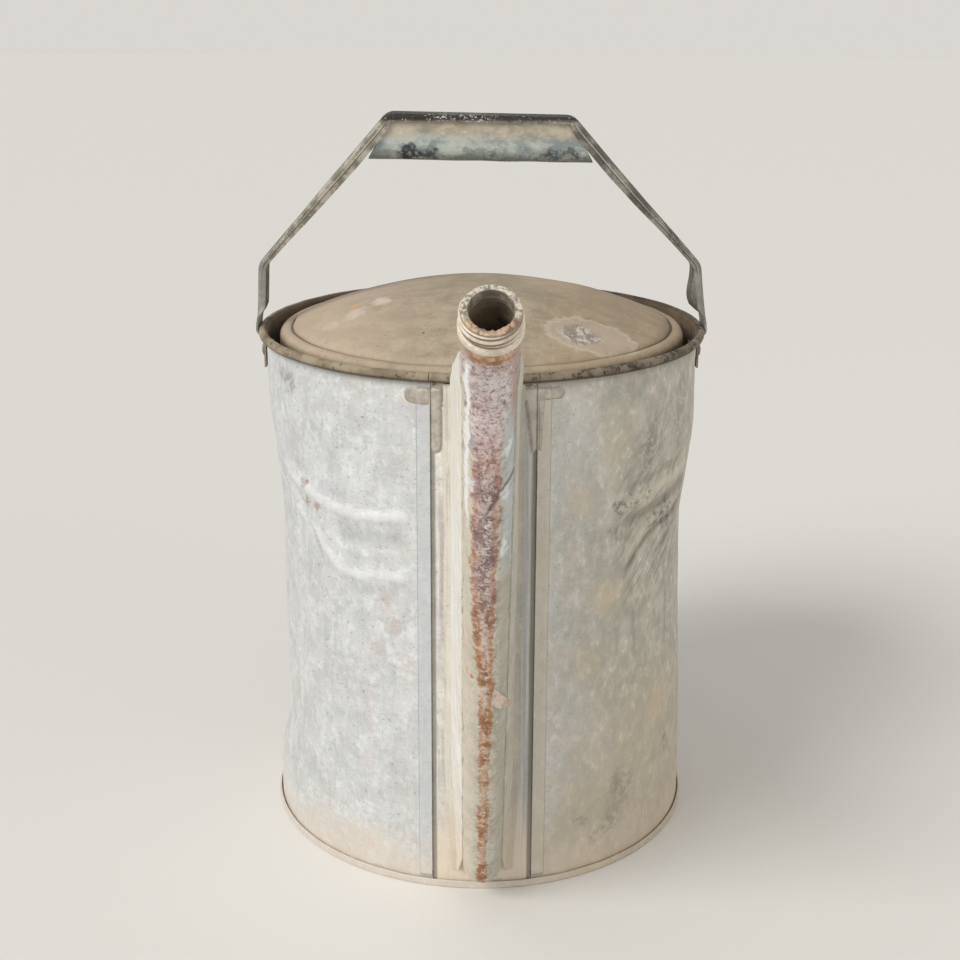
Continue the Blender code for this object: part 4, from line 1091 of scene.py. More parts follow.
def body_sheet(paints):
    profile = [(wall_radius(z), z) for z in wall_rows(0.0026)] + curl_profile()
    beyond = SEAM_ANGLE + BAND_ANGLE + JOGGLE_ANGLE
    fine = FINE_ANGLE - beyond
    ends = [(BAND_ANGLE, 3), (JOGGLE_ANGLE, 4), (fine, 98)]
    bm = spun(profile, SEAM_ANGLE, ends + [(2 * math.pi - 2 * FINE_ANGLE, 52)] + ends[::-1])
    relief = bm.verts.layers.float.new("relief")
    band = bm.verts.layers.float.new("band")
    for vert in bm.verts:
        angle = angle_of(vert.co)
        z = vert.co.z
        by_edges = smooth_step(z, 0.008, 0.030) * (1 - smooth_step(z, 0.284, 0.299))
        by_seam = smooth_step(abs(angle), beyond, beyond + math.radians(4))
        beaten = by_edges * by_seam
        shift = -dent_depth(angle, z)
        if beaten > 0:
            uneven = lump(vert.co, 0.030) * 0.00045 + lump(vert.co, 0.011, 4.0) * 0.00016 - 0.00015
            fold = fold_height(angle, z)
            shift += beaten * (fold * 1.15 + uneven)
            vert[relief] = beaten * fold / MM
        joggle = 1 - smooth_step(abs(angle), SEAM_ANGLE + BAND_ANGLE, beyond)
        shift += JOGGLE * joggle * band_share(z)
        vert[band] = joggle * band_share(z) if z < RIM_HEIGHT else 0.0
        vert.co += turned(shift, 0, angle)
        settle_curl(vert, angle)
    note(bm, "round", lambda vert: (angle_of(vert.co) % (2 * math.pi)) * WALL_TOP_RADIUS)
    face_outward(bm, own_axis)
    return new_piece("body_sheet", bm, paints, ["body_wall"], SHEET)


def front_panel_sheet(paints):
    wing_low, wing_high = BAND_INSET, RIM_HEIGHT - BAND_INSET
    count = 64
    heights = [wing_low + (wing_high - wing_low) * i / count for i in range(count + 1)]
    heights = [WALL_BOTTOM, BAND_FADED] + heights + [RIM_HEIGHT - BAND_FADED]
    profile = [(wall_radius(z), z) for z in heights] + curl_profile()
    inner = SEAM_ANGLE - GAP / WALL_TOP_RADIUS
    wing = BAND_ANGLE + GAP / WALL_TOP_RADIUS - JOGGLE_ANGLE / 2
    bm = spun(profile, -inner - wing, [(wing, 2), (2 * inner, 26), (wing, 2)])
    beyond = [
        face
        for face in bm.faces
        if abs(angle_of(face.calc_center_median())) > inner
        and not wing_low < face.calc_center_median().z < wing_high
    ]
    bmesh.ops.delete(bm, geom=beyond, context="FACES")
    for vert in bm.verts:
        angle = angle_of(vert.co)
        inside = 1 - smooth_step(abs(angle), inner * 0.8, inner * 0.97)
        quiet = smooth_step(vert.co.z, 0.05, 0.08) * (1 - smooth_step(vert.co.z, 0.280, 0.297))
        vert.co += turned(lump(vert.co, 0.025, 6.0) * 0.00020 * inside * quiet, 0, angle)
        settle_curl(vert, angle)
    face_outward(bm, own_axis)
    return new_piece("front_panel_sheet", bm, paints, ["front_panel"], SHEET)


def bottom_pan_sheet(paints):
    inner = BASE_RADIUS - PAN_CLEARANCE - SHEET
    outer = BASE_RADIUS + PAN_CLEARANCE + SHEET / 2
    fold = SHEET * 0.9
    low = SHEET / 2
    profile = [(inner * share, PAN_RECESS) for share in (0, 0.35, 0.7)] + [(inner - fold, PAN_RECESS)]
    profile += arc((inner - fold, PAN_RECESS - fold), fold, math.radians(60), 0, 2)
    profile += arc((inner + fold, low + fold), fold, math.pi, math.radians(270), 3)
    profile += arc((outer - fold, low + fold), fold, math.radians(270), math.radians(360), 3)
    profile.append((outer, HEM_HEIGHT))
    bm = spun(profile, 0, [(2 * math.pi, 220)], whole=True)
    for vert in bm.verts:
        if vert.co.xy.length > outer - 0.0005 and vert.co.z > 0.003:
            vert.co.z += lump(vert.co, 0.014, 3.0) * 0.0003
    bmesh.ops.recalc_face_normals(bm, faces=bm.faces)
    return new_piece("bottom_pan_sheet", bm, paints, ["bottom_pan"], SHEET)


def hood_height(radius):
    """The dome's height at a radius, as a cap of a sphere over the rim."""
    sphere = (HOOD_RADIUS**2 + HOOD_RISE**2) / (2 * HOOD_RISE)
    return RIM_HEIGHT + HOOD_RISE - sphere + math.sqrt(sphere**2 - radius**2)


def by_hood_step(vert):
    """1 in the groove at the dome's step, fading to its sides."""
    if vert.co.z < RIM_HEIGHT:
        return 0.0
    return bump_of(vert.co.xy.length - STEP_RADIUS + 0.0004, 0.0009)


def hood_sheet(paints):
    lip_radius = wall_radius(HOOD_FLOOR) - SHEET - GAP * 2
    profile = [(STEP_RADIUS * i / 40, hood_height(STEP_RADIUS * i / 40)) for i in range(39)]
    profile += [(STEP_RADIUS - 0.0024, hood_height(STEP_RADIUS - 0.0024) + 0.0001)]
    for aside, drop in ((-0.0013, 0.80), (-0.0007, 1.50), (0.0001, 1.50), (0.0012, 0.80)):
        profile.append((STEP_RADIUS + aside, hood_height(STEP_RADIUS) - STEP_DROP * drop))
    shoulder = HOOD_RADIUS + 0.0012
    turn = 0.005
    centre = (shoulder - turn, hood_height(STEP_RADIUS) - STEP_DROP - turn * 0.9)
    profile += arc(centre, turn, math.radians(62), 0, 6)
    fillet = 0.0025
    profile += [(shoulder, (centre[1] + HOOD_FLOOR) / 2)]
    profile += arc((shoulder + fillet, HOOD_FLOOR + fillet), fillet, math.pi, math.radians(270), 4)
    lip_turn = fillet * 0.6
    profile += arc((lip_radius - lip_turn, HOOD_FLOOR - lip_turn), lip_turn, math.radians(90), 0, 3)
    profile.append((lip_radius, HOOD_FLOOR - HOOD_LIP))
    bm = spun(profile, 0, [(2 * math.pi, 200)], whole=True)
    bmesh.ops.bisect_plane(
        bm,
        geom=bm.verts[:] + bm.edges[:] + bm.faces[:],
        plane_co=(0, HOOD_REAR_EDGE, 0),
        plane_no=(0, 1, 0),
        clear_outer=True,
    )
    hem = [
        edge
        for edge in bm.edges
        if edge.is_boundary
        and all(abs(v.co.y - HOOD_REAR_EDGE) < 1e-6 for v in edge.verts)
        and all(v.co.xy.length < STEP_RADIUS + 1e-6 for v in edge.verts)
    ]
    for drop, out in ((0.0006, 0.0010), (0.0016, 0.0012), (HOOD_HEM - 0.0022, 0.0002)):
        moved, hem = pulled_on(bm, hem)
        bmesh.ops.translate(bm, verts=moved, vec=(0, out, -drop))
    note(bm, "step", by_hood_step)
    for vert in bm.verts:
        radius = vert.co.xy.length
        calm = 1 - smooth_step(radius, 0.095, 0.112)
        swell = lump(vert.co, 0.045, 1.0) * 0.0006 + lump(vert.co, 0.016, 5.0) * 0.00018 - 0.0003
        hollow = bump_of((vert.co.xy - Vector((0.058, -0.074))).length, 0.012) * 0.0006
        vert.co.z += calm * swell - hollow * calm
        edge_wave = (1 - calm) * smooth_step(vert.co.z, HOOD_FLOOR + 0.004, HOOD_FLOOR + 0.012)
        vert.co.z += edge_wave * lump((angle_of(vert.co) * 0.118, 0, 0), 0.022, 8.0) * 0.0005
    face_outward(bm, lambda point: Vector((0, 0, 0.20)))
    return new_piece("hood_sheet", bm, paints, ["hood"], SHEET)


def gusset_sheet(word, side, paints):
    """One splayed face of the spout's support, with a flange on the panel and a closed top."""
    low, high = spout_point(HEEL_HEIGHT + HEEL_BEND * 0.6), spout_point(GUSSET_NECK)
    top_base = RIM_HEIGHT - BEAD_OUTER - GAP - SHEET
    count = 90
    rows = []
    for i in range(count + 1):
        share = i / count
        base_z = GUSSET_BOTTOM + (top_base - GUSSET_BOTTOM) * share
        crest = low.lerp(high, share)
        widening = smooth_step(base_z, GUSSET_BOTTOM - 0.012, GUSSET_BOTTOM + 0.075)
        half = GUSSET_FOOT_HALF_WIDTH + (GUSSET_HALF_WIDTH - GUSSET_FOOT_HALF_WIDTH) * widening
        face_radius = wall_radius(base_z) + SHEET + GAP
        edge = []
        for x in (half + GUSSET_FLANGE, half + GUSSET_FLANGE * 0.6, half + SHEET * 1.6):
            edge.append(Vector((side * x, -math.sqrt(face_radius**2 - x**2), base_z)))
        corner = Vector((side * half, -math.sqrt(face_radius**2 - half**2) - SHEET * 1.2, base_z))
        edge.append(edge[-1].lerp(corner, 0.62) + Vector((0, SHEET * 0.25, 0)))
        edge.append(corner)
        crest_x = TUBE_RADIUS + SHEET / 2 + tube_swell(crest.y)
        crest_point = Vector((side * crest_x, crest.x, crest.y))
        run = crest_point - corner
        behind = 1 - min(0.6, (TUBE_RADIUS + 4 * SHEET) / run.length)
        parts = 16
        for part in range(1, parts + 1):
            reach = behind * part / parts
            point = corner + run * reach
            swell = math.sin(math.pi * min(1.0, reach)) * smooth_step(run.length, 0.02, 0.08)
            point.x += side * swell * (0.0012 + 0.0009 * lump(point, 0.030, 3.0))
            edge.append(point)
        edge.append(corner + run * ((behind + 1) / 2))
        edge.append(crest_point)
        rows.append(edge)
    bm = drawn(rows)
    bm.verts.ensure_lookup_table()
    ledge = rows[-1][4:-1]
    top = [v for v in bm.verts if any((v.co - point).length < 1e-7 for point in ledge)]
    edges = [e for e in bm.edges if e.verts[0] in top and e.verts[1] in top]
    nearest = -(wall_radius(top_base) + 2 * SHEET + GAP)
    # The top closes row by row, each one this share of the way that is left to the middle
    for share in (0.02, 0.28644, 0.50071, 1.0):
        moved, edges = pulled_on(bm, edges)
        for vert in moved:
            goal = Vector((side * GAP / 2, min(vert.co.y, nearest), vert.co.z))
            vert.co = vert.co.lerp(goal, share)
    face_outward(bm, lambda point: Vector((0, -0.150, point.z)))
    node = f"{word}_gusset"
    return new_piece(f"{node}_sheet", bm, paints, [node], SHEET)


def tube_marks(x, z, front):
    """How far the tube's surface stands out or in here: crusted crest, scars and the torn flap."""
    crest = front * (1 - smooth_step(abs(x), 0.004, 0.0105))
    shift = crest * (0.00012 + 0.00020 * noise.noise(Vector((x, 0, z)) * 330))
    shift += 0.00022 * noise.noise(Vector((x * 0.7, front * 0.004, z)) * 120)
    fold = (z - 0.282) - (x - 0.002) * 1.6
    shift -= 0.0011 * bump_of(fold, 0.0042) * front * smooth_step(x, -0.006, 0.004)
    shift += 0.0006 * bump_of(fold + 0.0080, 0.0040) * front * smooth_step(x, -0.004, 0.006)
    shift -= 0.0012 * bump_of(z - 0.178, 0.012) * bump_of(x + 0.009, 0.005) * front
    shift -= 0.0005 * bump_of(z - 0.226, 0.010) * bump_of(x - 0.003, 0.005)
    return shift + tube_swell(z)


def spout_pipe(paints):
    route = spaced(spout_route(10), 0.0021)
    sides = 48
    middle = TUBE_RADIUS - TUBE_WALL / 2
    rows = []
    for i, point in enumerate(route):
        before, after = route[max(i - 1, 0)], route[min(i + 1, len(route) - 1)]
        along = (after - before).normalized()
        over = Vector((along.y, -along.x))
        fade = smooth_step(i, 0, 12) * (1 - smooth_step(i, len(route) - 12, len(route) - 4))
        row = []
        for k in range(sides):
            turn = 2 * math.pi * k / sides
            x = middle * math.sin(turn)
            forward = -math.cos(turn)
            place = point + over * middle * forward
            front = max(0.0, -forward) if over.x > 0 else max(0.0, forward)
            radius = middle + fade * tube_marks(x, place.y, front)
            place = point + over * radius * forward
            row.append((radius * math.sin(turn), place.x, place.y))
        rows.append(row)
    bm = drawn(rows, closed=True)
    bmesh.ops.recalc_face_normals(bm, faces=bm.faces)
    face_outward(bm, spout_axis)
    return new_piece("spout_pipe", bm, paints, ["spout_tube"], TUBE_WALL)


def torn_flap(paints):
    """The small lip of sheet that has torn up on the right of the spout's crest."""
    base = on_spout(0.1625, 0, 0)
    rows = []
    for i in range(9):
        share = i / 8
        rise = 0.0046 * math.sin(math.pi * share * 0.75) * share
        row = []
        for k in range(6):
            across = k / 5
            width = 0.0120 * (1 - share * 0.70)
            x = 0.0035 + share * 0.0088 + (across - 0.5) * 0.0015
            z = base.z + 0.0050 - share * 0.0085 + (across - 0.5) * width
            depth = math.sqrt(max(0.0, TUBE_RADIUS**2 - min(x, TUBE_RADIUS - 0.0004) ** 2))
            y = spout_point(z).x - (depth + 0.0002 + rise) / math.sin(SPOUT_SLOPE)
            row.append((x, y, z))
        rows.append(row)
    bm = drawn(rows)
    face_outward(bm, spout_axis)
    return new_piece("torn_flap", bm, paints, [], 0.0007, 0.0, 0.0001)


def set_on_spout(bm, back):
    """Stands a turned piece on the spout's axis, its base this far back from the tube's mouth."""
    end = spout_route(5)[-1]
    out = Vector((0, -math.cos(MOUTH_SLOPE), math.sin(MOUTH_SLOPE)))
    bmesh.ops.rotate(bm, verts=bm.verts, matrix=Matrix.Rotation(math.pi / 2 - MOUTH_SLOPE, 3, "X"))
    bmesh.ops.translate(bm, verts=bm.verts, vec=Vector((0, end.x, end.y)) - out * back)


def thread_lift(turn, z):
    """The rose thread's rise above the ring's barrel, winding up as it goes round."""
    start, stop = COLLAR_HEIGHT + 0.0012, RING_HEIGHT - 0.0014
    winding = ((z - THREAD_PITCH * turn / (2 * math.pi)) / THREAD_PITCH) % 1.0
    crest = smooth_step(winding, 0.10, 0.38) * (1 - smooth_step(winding, 0.55, 0.86))
    ends = smooth_step(z, start, start + 0.0007) * (1 - smooth_step(z, stop - 0.0006, stop))
    return THREAD_HEIGHT * crest * ends


def spout_thread_ring(paints):
    """Threaded ring: a socket for the tube below, a collar, the rose thread and a chipped lip."""
    socket = TUBE_RADIUS + GAP
    lip = RING_HEIGHT
    count = 34
    high, low = lip - 0.0006, COLLAR_HEIGHT + 0.0005
    barrel = [(RING_OUTER, high + (low - high) * i / count) for i in range(count + 1)]
    inner = [(RING_BORE, RING_SOCKET + 0.0004 + (lip - 0.0006 - RING_SOCKET) * i / 10) for i in range(10)]
    outline = [(RING_BORE + 0.0001, lip - 0.0001), (RING_BORE + 0.0005, lip), (RING_OUTER - 0.0006, lip)]
    outline += [(RING_OUTER - 0.0002, lip - 0.0002)] + barrel
    outline += [(COLLAR_OUTER - 0.0006, COLLAR_HEIGHT + 0.0001), (COLLAR_OUTER, COLLAR_HEIGHT - 0.0006)]
    outline += [(COLLAR_OUTER - 0.0002, COLLAR_HEIGHT * 0.5), (COLLAR_OUTER, 0.0007)]
    outline += [(COLLAR_OUTER - 0.0005, 0)]
    outline += [(socket, 0), (socket, RING_SOCKET)] + inner
    bm = lathe(outline, 120)
    for vert in bm.verts:
        radius = vert.co.xy.length
        turn = math.atan2(vert.co.y, vert.co.x)
        if radius > RING_OUTER - 0.0001 and vert.co.z > COLLAR_HEIGHT:
            vert.co.xy *= (radius + thread_lift(turn, vert.co.z)) / radius
        front = bump_of(turn + math.pi / 2, 0.85)
        if vert.co.z > lip - 0.0012 and radius < RING_OUTER - 0.0001:
            chip = abs(lump(vert.co, 0.0022, 3.0)) * front
            vert.co.z -= 0.0016 * chip + 0.0002 * abs(lump(vert.co, 0.004, 1.0))
            if radius < RING_BORE + 0.0004:
                vert.co.xy *= (radius + 0.0012 * chip) / radius
        vert.co.xy *= 1 + 0.006 * lump(vert.co, 0.006, 9.0) * (1 if radius > RING_BORE + 0.001 else 0)
        vert.co.xy *= min(1.0, (COLLAR_OUTER - 0.00002) / vert.co.xy.length)
    set_on_spout(bm, RING_SOCKET - GAP)
    return new_piece("spout_thread_ring", bm, paints, ["spout_ring"])


def spout_band(paints):
    inner = TUBE_RADIUS + GAP
    outer = inner + SLEEVE_WALL
    outline = [(inner, 0), (outer - 0.0003, 0)]
    outline += [(outer - 0.0002 * (i % 2), -0.0008 - (SLEEVE_LENGTH - 0.0016) * i / 8) for i in range(9)]
    outline += [(outer - 0.0007, -SLEEVE_LENGTH), (inner, -SLEEVE_LENGTH)]
    bm = lathe(outline, 72)
    for vert in bm.verts:
        if vert.co.z < -SLEEVE_LENGTH * 0.5:
            vert.co.z += 0.0010 * lump(vert.co, 0.007, 2.0)
        if vert.co.xy.length > inner + 0.0004:
            vert.co.xy *= 1 + 0.010 * lump(vert.co, 0.005, 5.0)
    set_on_spout(bm, RING_SOCKET)
    return new_piece("spout_band", bm, paints, ["spout_sleeve"])


def solder_depth(s, z, side, top):
    """How far inside the solder's outline a place is, from its round the body s and height z."""
    if side < 0:
        tab = min(s + 0.0060, z - (top - 0.0092), top - z, 0.0142 - s)
        tab = min(tab, 0.0046 - Vector((max(s - 0.0096, 0), z - top + 0.0046)).length)
        strip = min(s + 0.0056, 0.0018 - s, z - (top - 0.0345), top - z)
        return max(tab, min(strip, 0.0030 - Vector((s + 0.0026, min(z - top + 0.0315, 0))).length))
    tab = min(s + 0.0080, 0.0148 - s, z - (top - 0.0066), top - z)
    tab = min(tab, 0.0034 - Vector((max(s - 0.0114, 0), z - top + 0.0033)).length)
    fall = max(0.0, (top - z) / 0.0340)
    left, right = s + 0.0080 - 0.0052 * fall**0.7, 0.0046 - 0.0026 * fall**0.6 - s
    return max(tab, min(left, right, z - (top - 0.0340), top - z))


def seam_solder(word, side, paints):
    """An L shaped run of solder over the top of a seam, thin at its edges."""
    top = RIM_HEIGHT - 0.0062
    low_s, high_s, low_z, high_z = -0.0094, 0.0172, top - 0.038, top + 0.0016
    bm = bmesh.new()
    bmesh.ops.create_grid(bm, x_segments=70, y_segments=100, size=0.5)
    depths = bm.verts.layers.float.new("depth")
    for vert in bm.verts:
        s = low_s + (high_s - low_s) * (vert.co.x + 0.5)
        z = low_z + (high_z - low_z) * (vert.co.y + 0.5)
        depth = solder_depth(s, z, side, top) + 0.0003 * lump((s, z, side), 0.0030)
        vert[depths] = depth / MM
        band = smooth_step(s, -0.0004, 0.0002) * (1 - smooth_step(s, BAND_WIDTH, BAND_WIDTH + JOGGLE_RUN))
        ground = JOGGLE * max(band, 0.35 * (1 - smooth_step(s, -0.0030, 0.0))) * band_share(z)
        lift = 0.0006 * smooth_step(depth, -0.0004, 0.0012) - 0.0001
        groove = 0.0008 * bump_of(s, 0.0005)
        radius = wall_radius(z) + SHEET / 2 + ground + lift - groove
        vert.co = turned(radius, z, side * (SEAM_ANGLE + s / radius))
    outside = [face for face in bm.faces if all(v[depths] < -0.4 for v in face.verts)]
    bmesh.ops.delete(bm, geom=outside, context="FACES")
    face_outward(bm, own_axis)
    node = f"{word}_seam_solder"
    return new_piece(f"{node}_run", bm, paints, [node], 0.0004, -1.0, 0.00005)


def strap_line():
    """The strap's middle line as (x, z) points, from the right foot over the top to the left."""
    wrap_z = RIM_HEIGHT - WRAP_RADIUS * math.tan(STRAP_WRAP / 2)
    foot_z = wrap_z - (STRAP_X - FOOT_X) / math.tan(STRAP_WRAP)
    side = [(FOOT_X, foot_z - FOOT_LENGTH), (FOOT_X, foot_z), (STRAP_X, wrap_z)]
    side += [(STRAP_X - LEG_LEAN, LOWER_BEND_HEIGHT), (UPPER_BEND_HALF_SPAN, HANDLE_TOP)]
    corners = side + [(-x, z) for x, z in reversed(side)]
    radii = (0.0015, WRAP_RADIUS, 0.010, 0.009, 0.009, 0.010, WRAP_RADIUS, 0.0015)
    return spaced(rounded_path(corners, radii, 8), 0.0034)


def strap_section(half, flange, fold, corner, groove):
    """Half a channel section as (aside, inwards, highlight, shade), from its middle to the flange's edge; the
    last two place painted highlight on the groove's lip and painted shade in the groove.
    """
    bend = min(corner, flange * 0.45)
    start = Vector((half - bend, 0))
    knee = Vector((half, 0))
    way = Vector((math.cos(fold), math.sin(fold)))
    out = Vector((math.sin(fold), -math.cos(fold)))
    end = knee + way * bend
    points = [(Vector((half * share, 0)), 0, 0) for share in (0, 0.35, 0.7)] + [(start, 0, 0)]
    for u in (0.25, 0.5, 0.75):
        points.append((start * (1 - u) ** 2 + knee * 2 * u * (1 - u) + end * u**2, 0, 0))
    points.append((end, 0, 0))
    place = max(flange * 0.52, bend * 1.1 + 0.0006)
    for t, share, bright in ((-0.0007, 0, 1), (-0.0003, 1, 0.3), (0.0003, 1, 0), (0.0006, 0, 0.2)):
        here = knee + way * (place + t) - out * groove * share
        points.append((here, bright * min(1, groove / 0.0004), share * groove / 0.0006))
    points.append((knee + way * (place + 0.0006 + flange) / 2, 0, 0))
    points.append((knee + way * flange, 0, 0))
    return points


def handle_sag(point):
    """The handle's own crookedness: its top has sunk a little on the right and moved to the left."""
    up = smooth_step(point.z, RIM_HEIGHT + 0.006, LOWER_BEND_HEIGHT)
    high = smooth_step(point.z, LOWER_BEND_HEIGHT, HANDLE_TOP)
    sink = 0.018 * high * max(0.0, point.x + UPPER_BEND_HALF_SPAN)
    return Vector((point.x - 0.0010 * up, point.y, point.z - sink))


def strap_handle(paints):
    """The channel strap, its arms grooved along their flanges and its right leg twisted."""
    line = strap_line()
    fold_start, fold_end = RIM_HEIGHT + 0.005, RIM_HEIGHT + 0.014
    rows, groove_highlights, darks = [], [], []
    for i, point in enumerate(line):
        before, after = line[max(i - 1, 0)], line[min(i + 1, len(line) - 1)]
        along = (after - before).normalized()
        inward = Vector((-along.y, along.x))
        z = point.y
        rise = smooth_step(z, LOWER_BEND_HEIGHT, HANDLE_TOP - GRIP_DEPTH)
        half = 0.0085 + 0.0025 * rise
        folded = smooth_step(z, fold_start, fold_end)
        flange = FLANGE_LEG + (FLANGE_ARM - FLANGE_LEG) * rise
        over = smooth_step(abs(point.x), UPPER_BEND_HALF_SPAN - 0.004, UPPER_BEND_HALF_SPAN + 0.006)
        flange = FLANGE_TOP + (flange - FLANGE_TOP) * over
        flange = FLANGE_FOOT + (flange - FLANGE_FOOT) * folded
        groove = 0.0006 * smooth_step(z, LOWER_BEND_HEIGHT - 0.012, LOWER_BEND_HEIGHT + 0.004) * over
        twist = 0.0
        if point.x > 0:
            twist = math.radians(13) * bump_of(z - 0.321, 0.010) * smooth_step(z, 0.308, 0.316)
        on_arm = smooth_step(z, 0.345, 0.37) * (1 - smooth_step(z, 0.40, 0.42))
        sway = 0.0004 * lump((point.x, 0, z), 0.030, 2.0) * on_arm
        section = strap_section(half, flange, folded * math.pi / 2, 0.0015, groove)
        both = [(Vector((-p.x, p.y)), bright, dark) for p, bright, dark in reversed(section[1:])] + section
        row = []
        for p, bright, dark in both:
            dented = Matrix.Rotation(twist, 2) @ p
            inset = dented.y + half * abs(math.sin(twist)) + sway
            inset += 0.0003 * lump((point.x, p.x * 3, z), 0.012, 6.0) * folded * (p.y / 0.009)
            spot = point + inward * inset
            row.append(handle_sag(Vector((spot.x, dented.x, spot.y))))
            groove_highlights.append(bright)
            darks.append(dark)
        rows.append(row)
    bm = drawn(rows)
    bm.verts.ensure_lookup_table()
    for name, values in (("bright", groove_highlights), ("groove", darks)):
        layer = bm.verts.layers.float.new(name)
        for vert, value in zip(bm.verts, values):
            vert[layer] = value
    face_outward(bm, lambda p: Vector((0, p.y * 0.2, 0.34)))
    sheet = STRAP_SHEET - 0.00005
    return new_piece("strap_handle", bm, paints, ["handle_strap"], sheet, 0.0, 0.00025)


def grip(paints):
    """Boat shaped grip folded from sheet inside the strap's channel, round below, with sloped ends."""
    half = 0.011 - STRAP_SHEET / 2 - GAP * 2 - SHEET / 2
    top = HANDLE_TOP - STRAP_SHEET / 2 - GAP - SHEET
    bottom = HANDLE_TOP - GRIP_DEPTH
    section = [(half, top), (half, top - 0.004), (half, top - 0.009), (half, bottom + 0.0125)]
    for i in range(13):
        turn = math.pi * i / 12
        across = math.cos(turn)
        y = half * math.copysign(abs(across) ** 0.7, across)
        section.append((y, bottom + 0.0095 * (1 - math.sin(turn) ** 0.85)))
    section += [(-half, bottom + 0.0125), (-half, top - 0.009), (-half, top - 0.004), (-half, top)]
    rows = []
    count = 54
    for i in range(count + 1):
        share = i / count * 2 - 1
        row = []
        for y, z in section:
            reach = GRIP_HALF_LENGTH + (top - z) * GRIP_END_SLOPE
            wave = 0.00035 * lump((share * 0.06, y * 0.5, z * 0.5), 0.016, 4.0)
            low = smooth_step(top - z, 0.014, 0.024)
            row.append(handle_sag(Vector((share * reach, y, z + wave * low + 0.0003 * low))))
        rows.append(row)
    bm = drawn(rows)
    face_outward(bm, lambda p: Vector((p.x, 0, HANDLE_TOP - 0.012)))
    return new_piece("grip", bm, paints, ["grip_sheath"], SHEET)


def rear_loop(paints):
    """Strap loop on the back of the body, its feet following the wall."""
    middle = REAR_HANDLE_TOP - REAR_HANDLE_DROP / 2
    stand_off = SHEET / 2 + GAP + STRAP_SHEET / 2
    corners = []
    for sign in (1, -1):
        foot = middle + sign * REAR_HANDLE_DROP / 2
        knee = foot - sign * REAR_FOOT_LENGTH
        hold = knee - sign * REAR_HANDLE_REACH * 0.32
        side = [(wall_radius(foot) + stand_off, foot), (wall_radius(knee) + stand_off, knee)]
        side.append((wall_radius(hold) + REAR_HANDLE_REACH, hold))
        corners += side if sign > 0 else side[::-1]
    rows = []
    for y, z in spaced(rounded_path(corners, (0.004, 0.010, 0.010, 0.004), 8), 0.004):
        near = 1 - smooth_step(y, wall_radius(z) + stand_off, wall_radius(z) + stand_off + 0.004)
        row = []
        for k in range(-6, 7):
            across = k / 6
            x = across * REAR_HANDLE_HALF_WIDTH
            sag = wall_radius(z) - math.sqrt(wall_radius(z) ** 2 - x**2)
            rolled = 0.0016 * smooth_step(abs(across), 0.70, 1.0) * (1 - near)
            row.append((x, y - sag * near - rolled, z))
        rows.append(row)
    bm = drawn(rows)
    face_outward(bm, lambda p: Vector((0, 0.120, middle)))
    return new_piece("rear_loop", bm, paints, ["rear_handle"], STRAP_SHEET, 0.0, 0.00025)


def rivets(paints):
    """The eight round headed rivets, each a turned solid through both sheets."""
    foot_end = min(point.y for point in strap_line())
    z = foot_end + FOOT_LENGTH * 0.55
    places = []
    for side, word in ((-1, "left"), (1, "right")):
        for end, place in ((-1, "front"), (1, "rear")):
            y = end * RIVET_SPACING
            x = math.sqrt((wall_radius(z) + SHEET / 2) ** 2 - y**2)
            reach = FOOT_X + STRAP_SHEET / 2 + GAP - x
            places.append((f"{word}_foot_rivet_{place}", (side * x, y, z), (side, 0), reach))
    middle = REAR_HANDLE_TOP - REAR_HANDLE_DROP / 2
    for sign, word in ((1, "upper"), (-1, "lower")):
        z = middle + sign * (REAR_HANDLE_DROP / 2 - REAR_FOOT_LENGTH * 0.42)
        for side, place in ((-1, "left"), (1, "right")):
            x = side * RIVET_SPACING
            y = math.sqrt((wall_radius(z) + SHEET / 2) ** 2 - x**2)
            places.append((f"rear_{word}_rivet_{place}", (x, y, z), (0, 1), GAP * 2.4 + STRAP_SHEET))
    for node, place, direction, outside in places:
        inside = -SHEET - GAP * 2.4
        head = RIVET_HEAD_RADIUS
        outline = [(0, outside + RIVET_HEAD_HEIGHT)]
        for a in (0.3, 0.6, 0.9, 1.2, 1.45):
            outline.append((head * math.sin(a), outside + RIVET_HEAD_HEIGHT * math.cos(a)))
        outline += [(head, outside), (0.0019, outside), (0.0019, inside), (head * 0.8, inside)]
        outline += [(head * 0.7, inside - RIVET_HEAD_HEIGHT * 0.7), (0, inside - RIVET_HEAD_HEIGHT * 0.8)]
        bm = lathe(outline, 28)
        for vert in bm.verts:
            if vert.co.z > outside + 0.0001:
                vert.co.z -= 0.0002 * abs(lump(vert.co + Vector(place), 0.003))
        turn = Matrix.Rotation(math.atan2(direction[0], -direction[1]), 3, "Z")
        turn = turn @ Matrix.Rotation(math.pi / 2, 3, "X")
        bmesh.ops.rotate(bm, verts=bm.verts, matrix=turn)
        bmesh.ops.translate(bm, verts=bm.verts, vec=place)
        new_piece(f"{node}_head", bm, paints, [node])


# Room


def pale_floor():
    bm = bmesh.new()
    bmesh.ops.create_grid(bm, x_segments=1, y_segments=1, size=12.0)
    mesh = bpy.data.meshes.new("pale_floor")
    bm.to_mesh(mesh)
    bm.free()
    paint = bpy.data.materials.new("pale_floor")
    paint.use_nodes = True
    shader = paint.node_tree.nodes["Principled BSDF"]
    shader.inputs["Base Color"].default_value = shade(226, 224, 220)
    shader.inputs["Roughness"].default_value = 1.0
    shader.inputs["Specular IOR Level"].default_value = 0.0
    mesh.materials.append(paint)
    floor = bpy.data.objects.new("pale_floor", mesh)
    bpy.context.scene.collection.objects.link(floor)


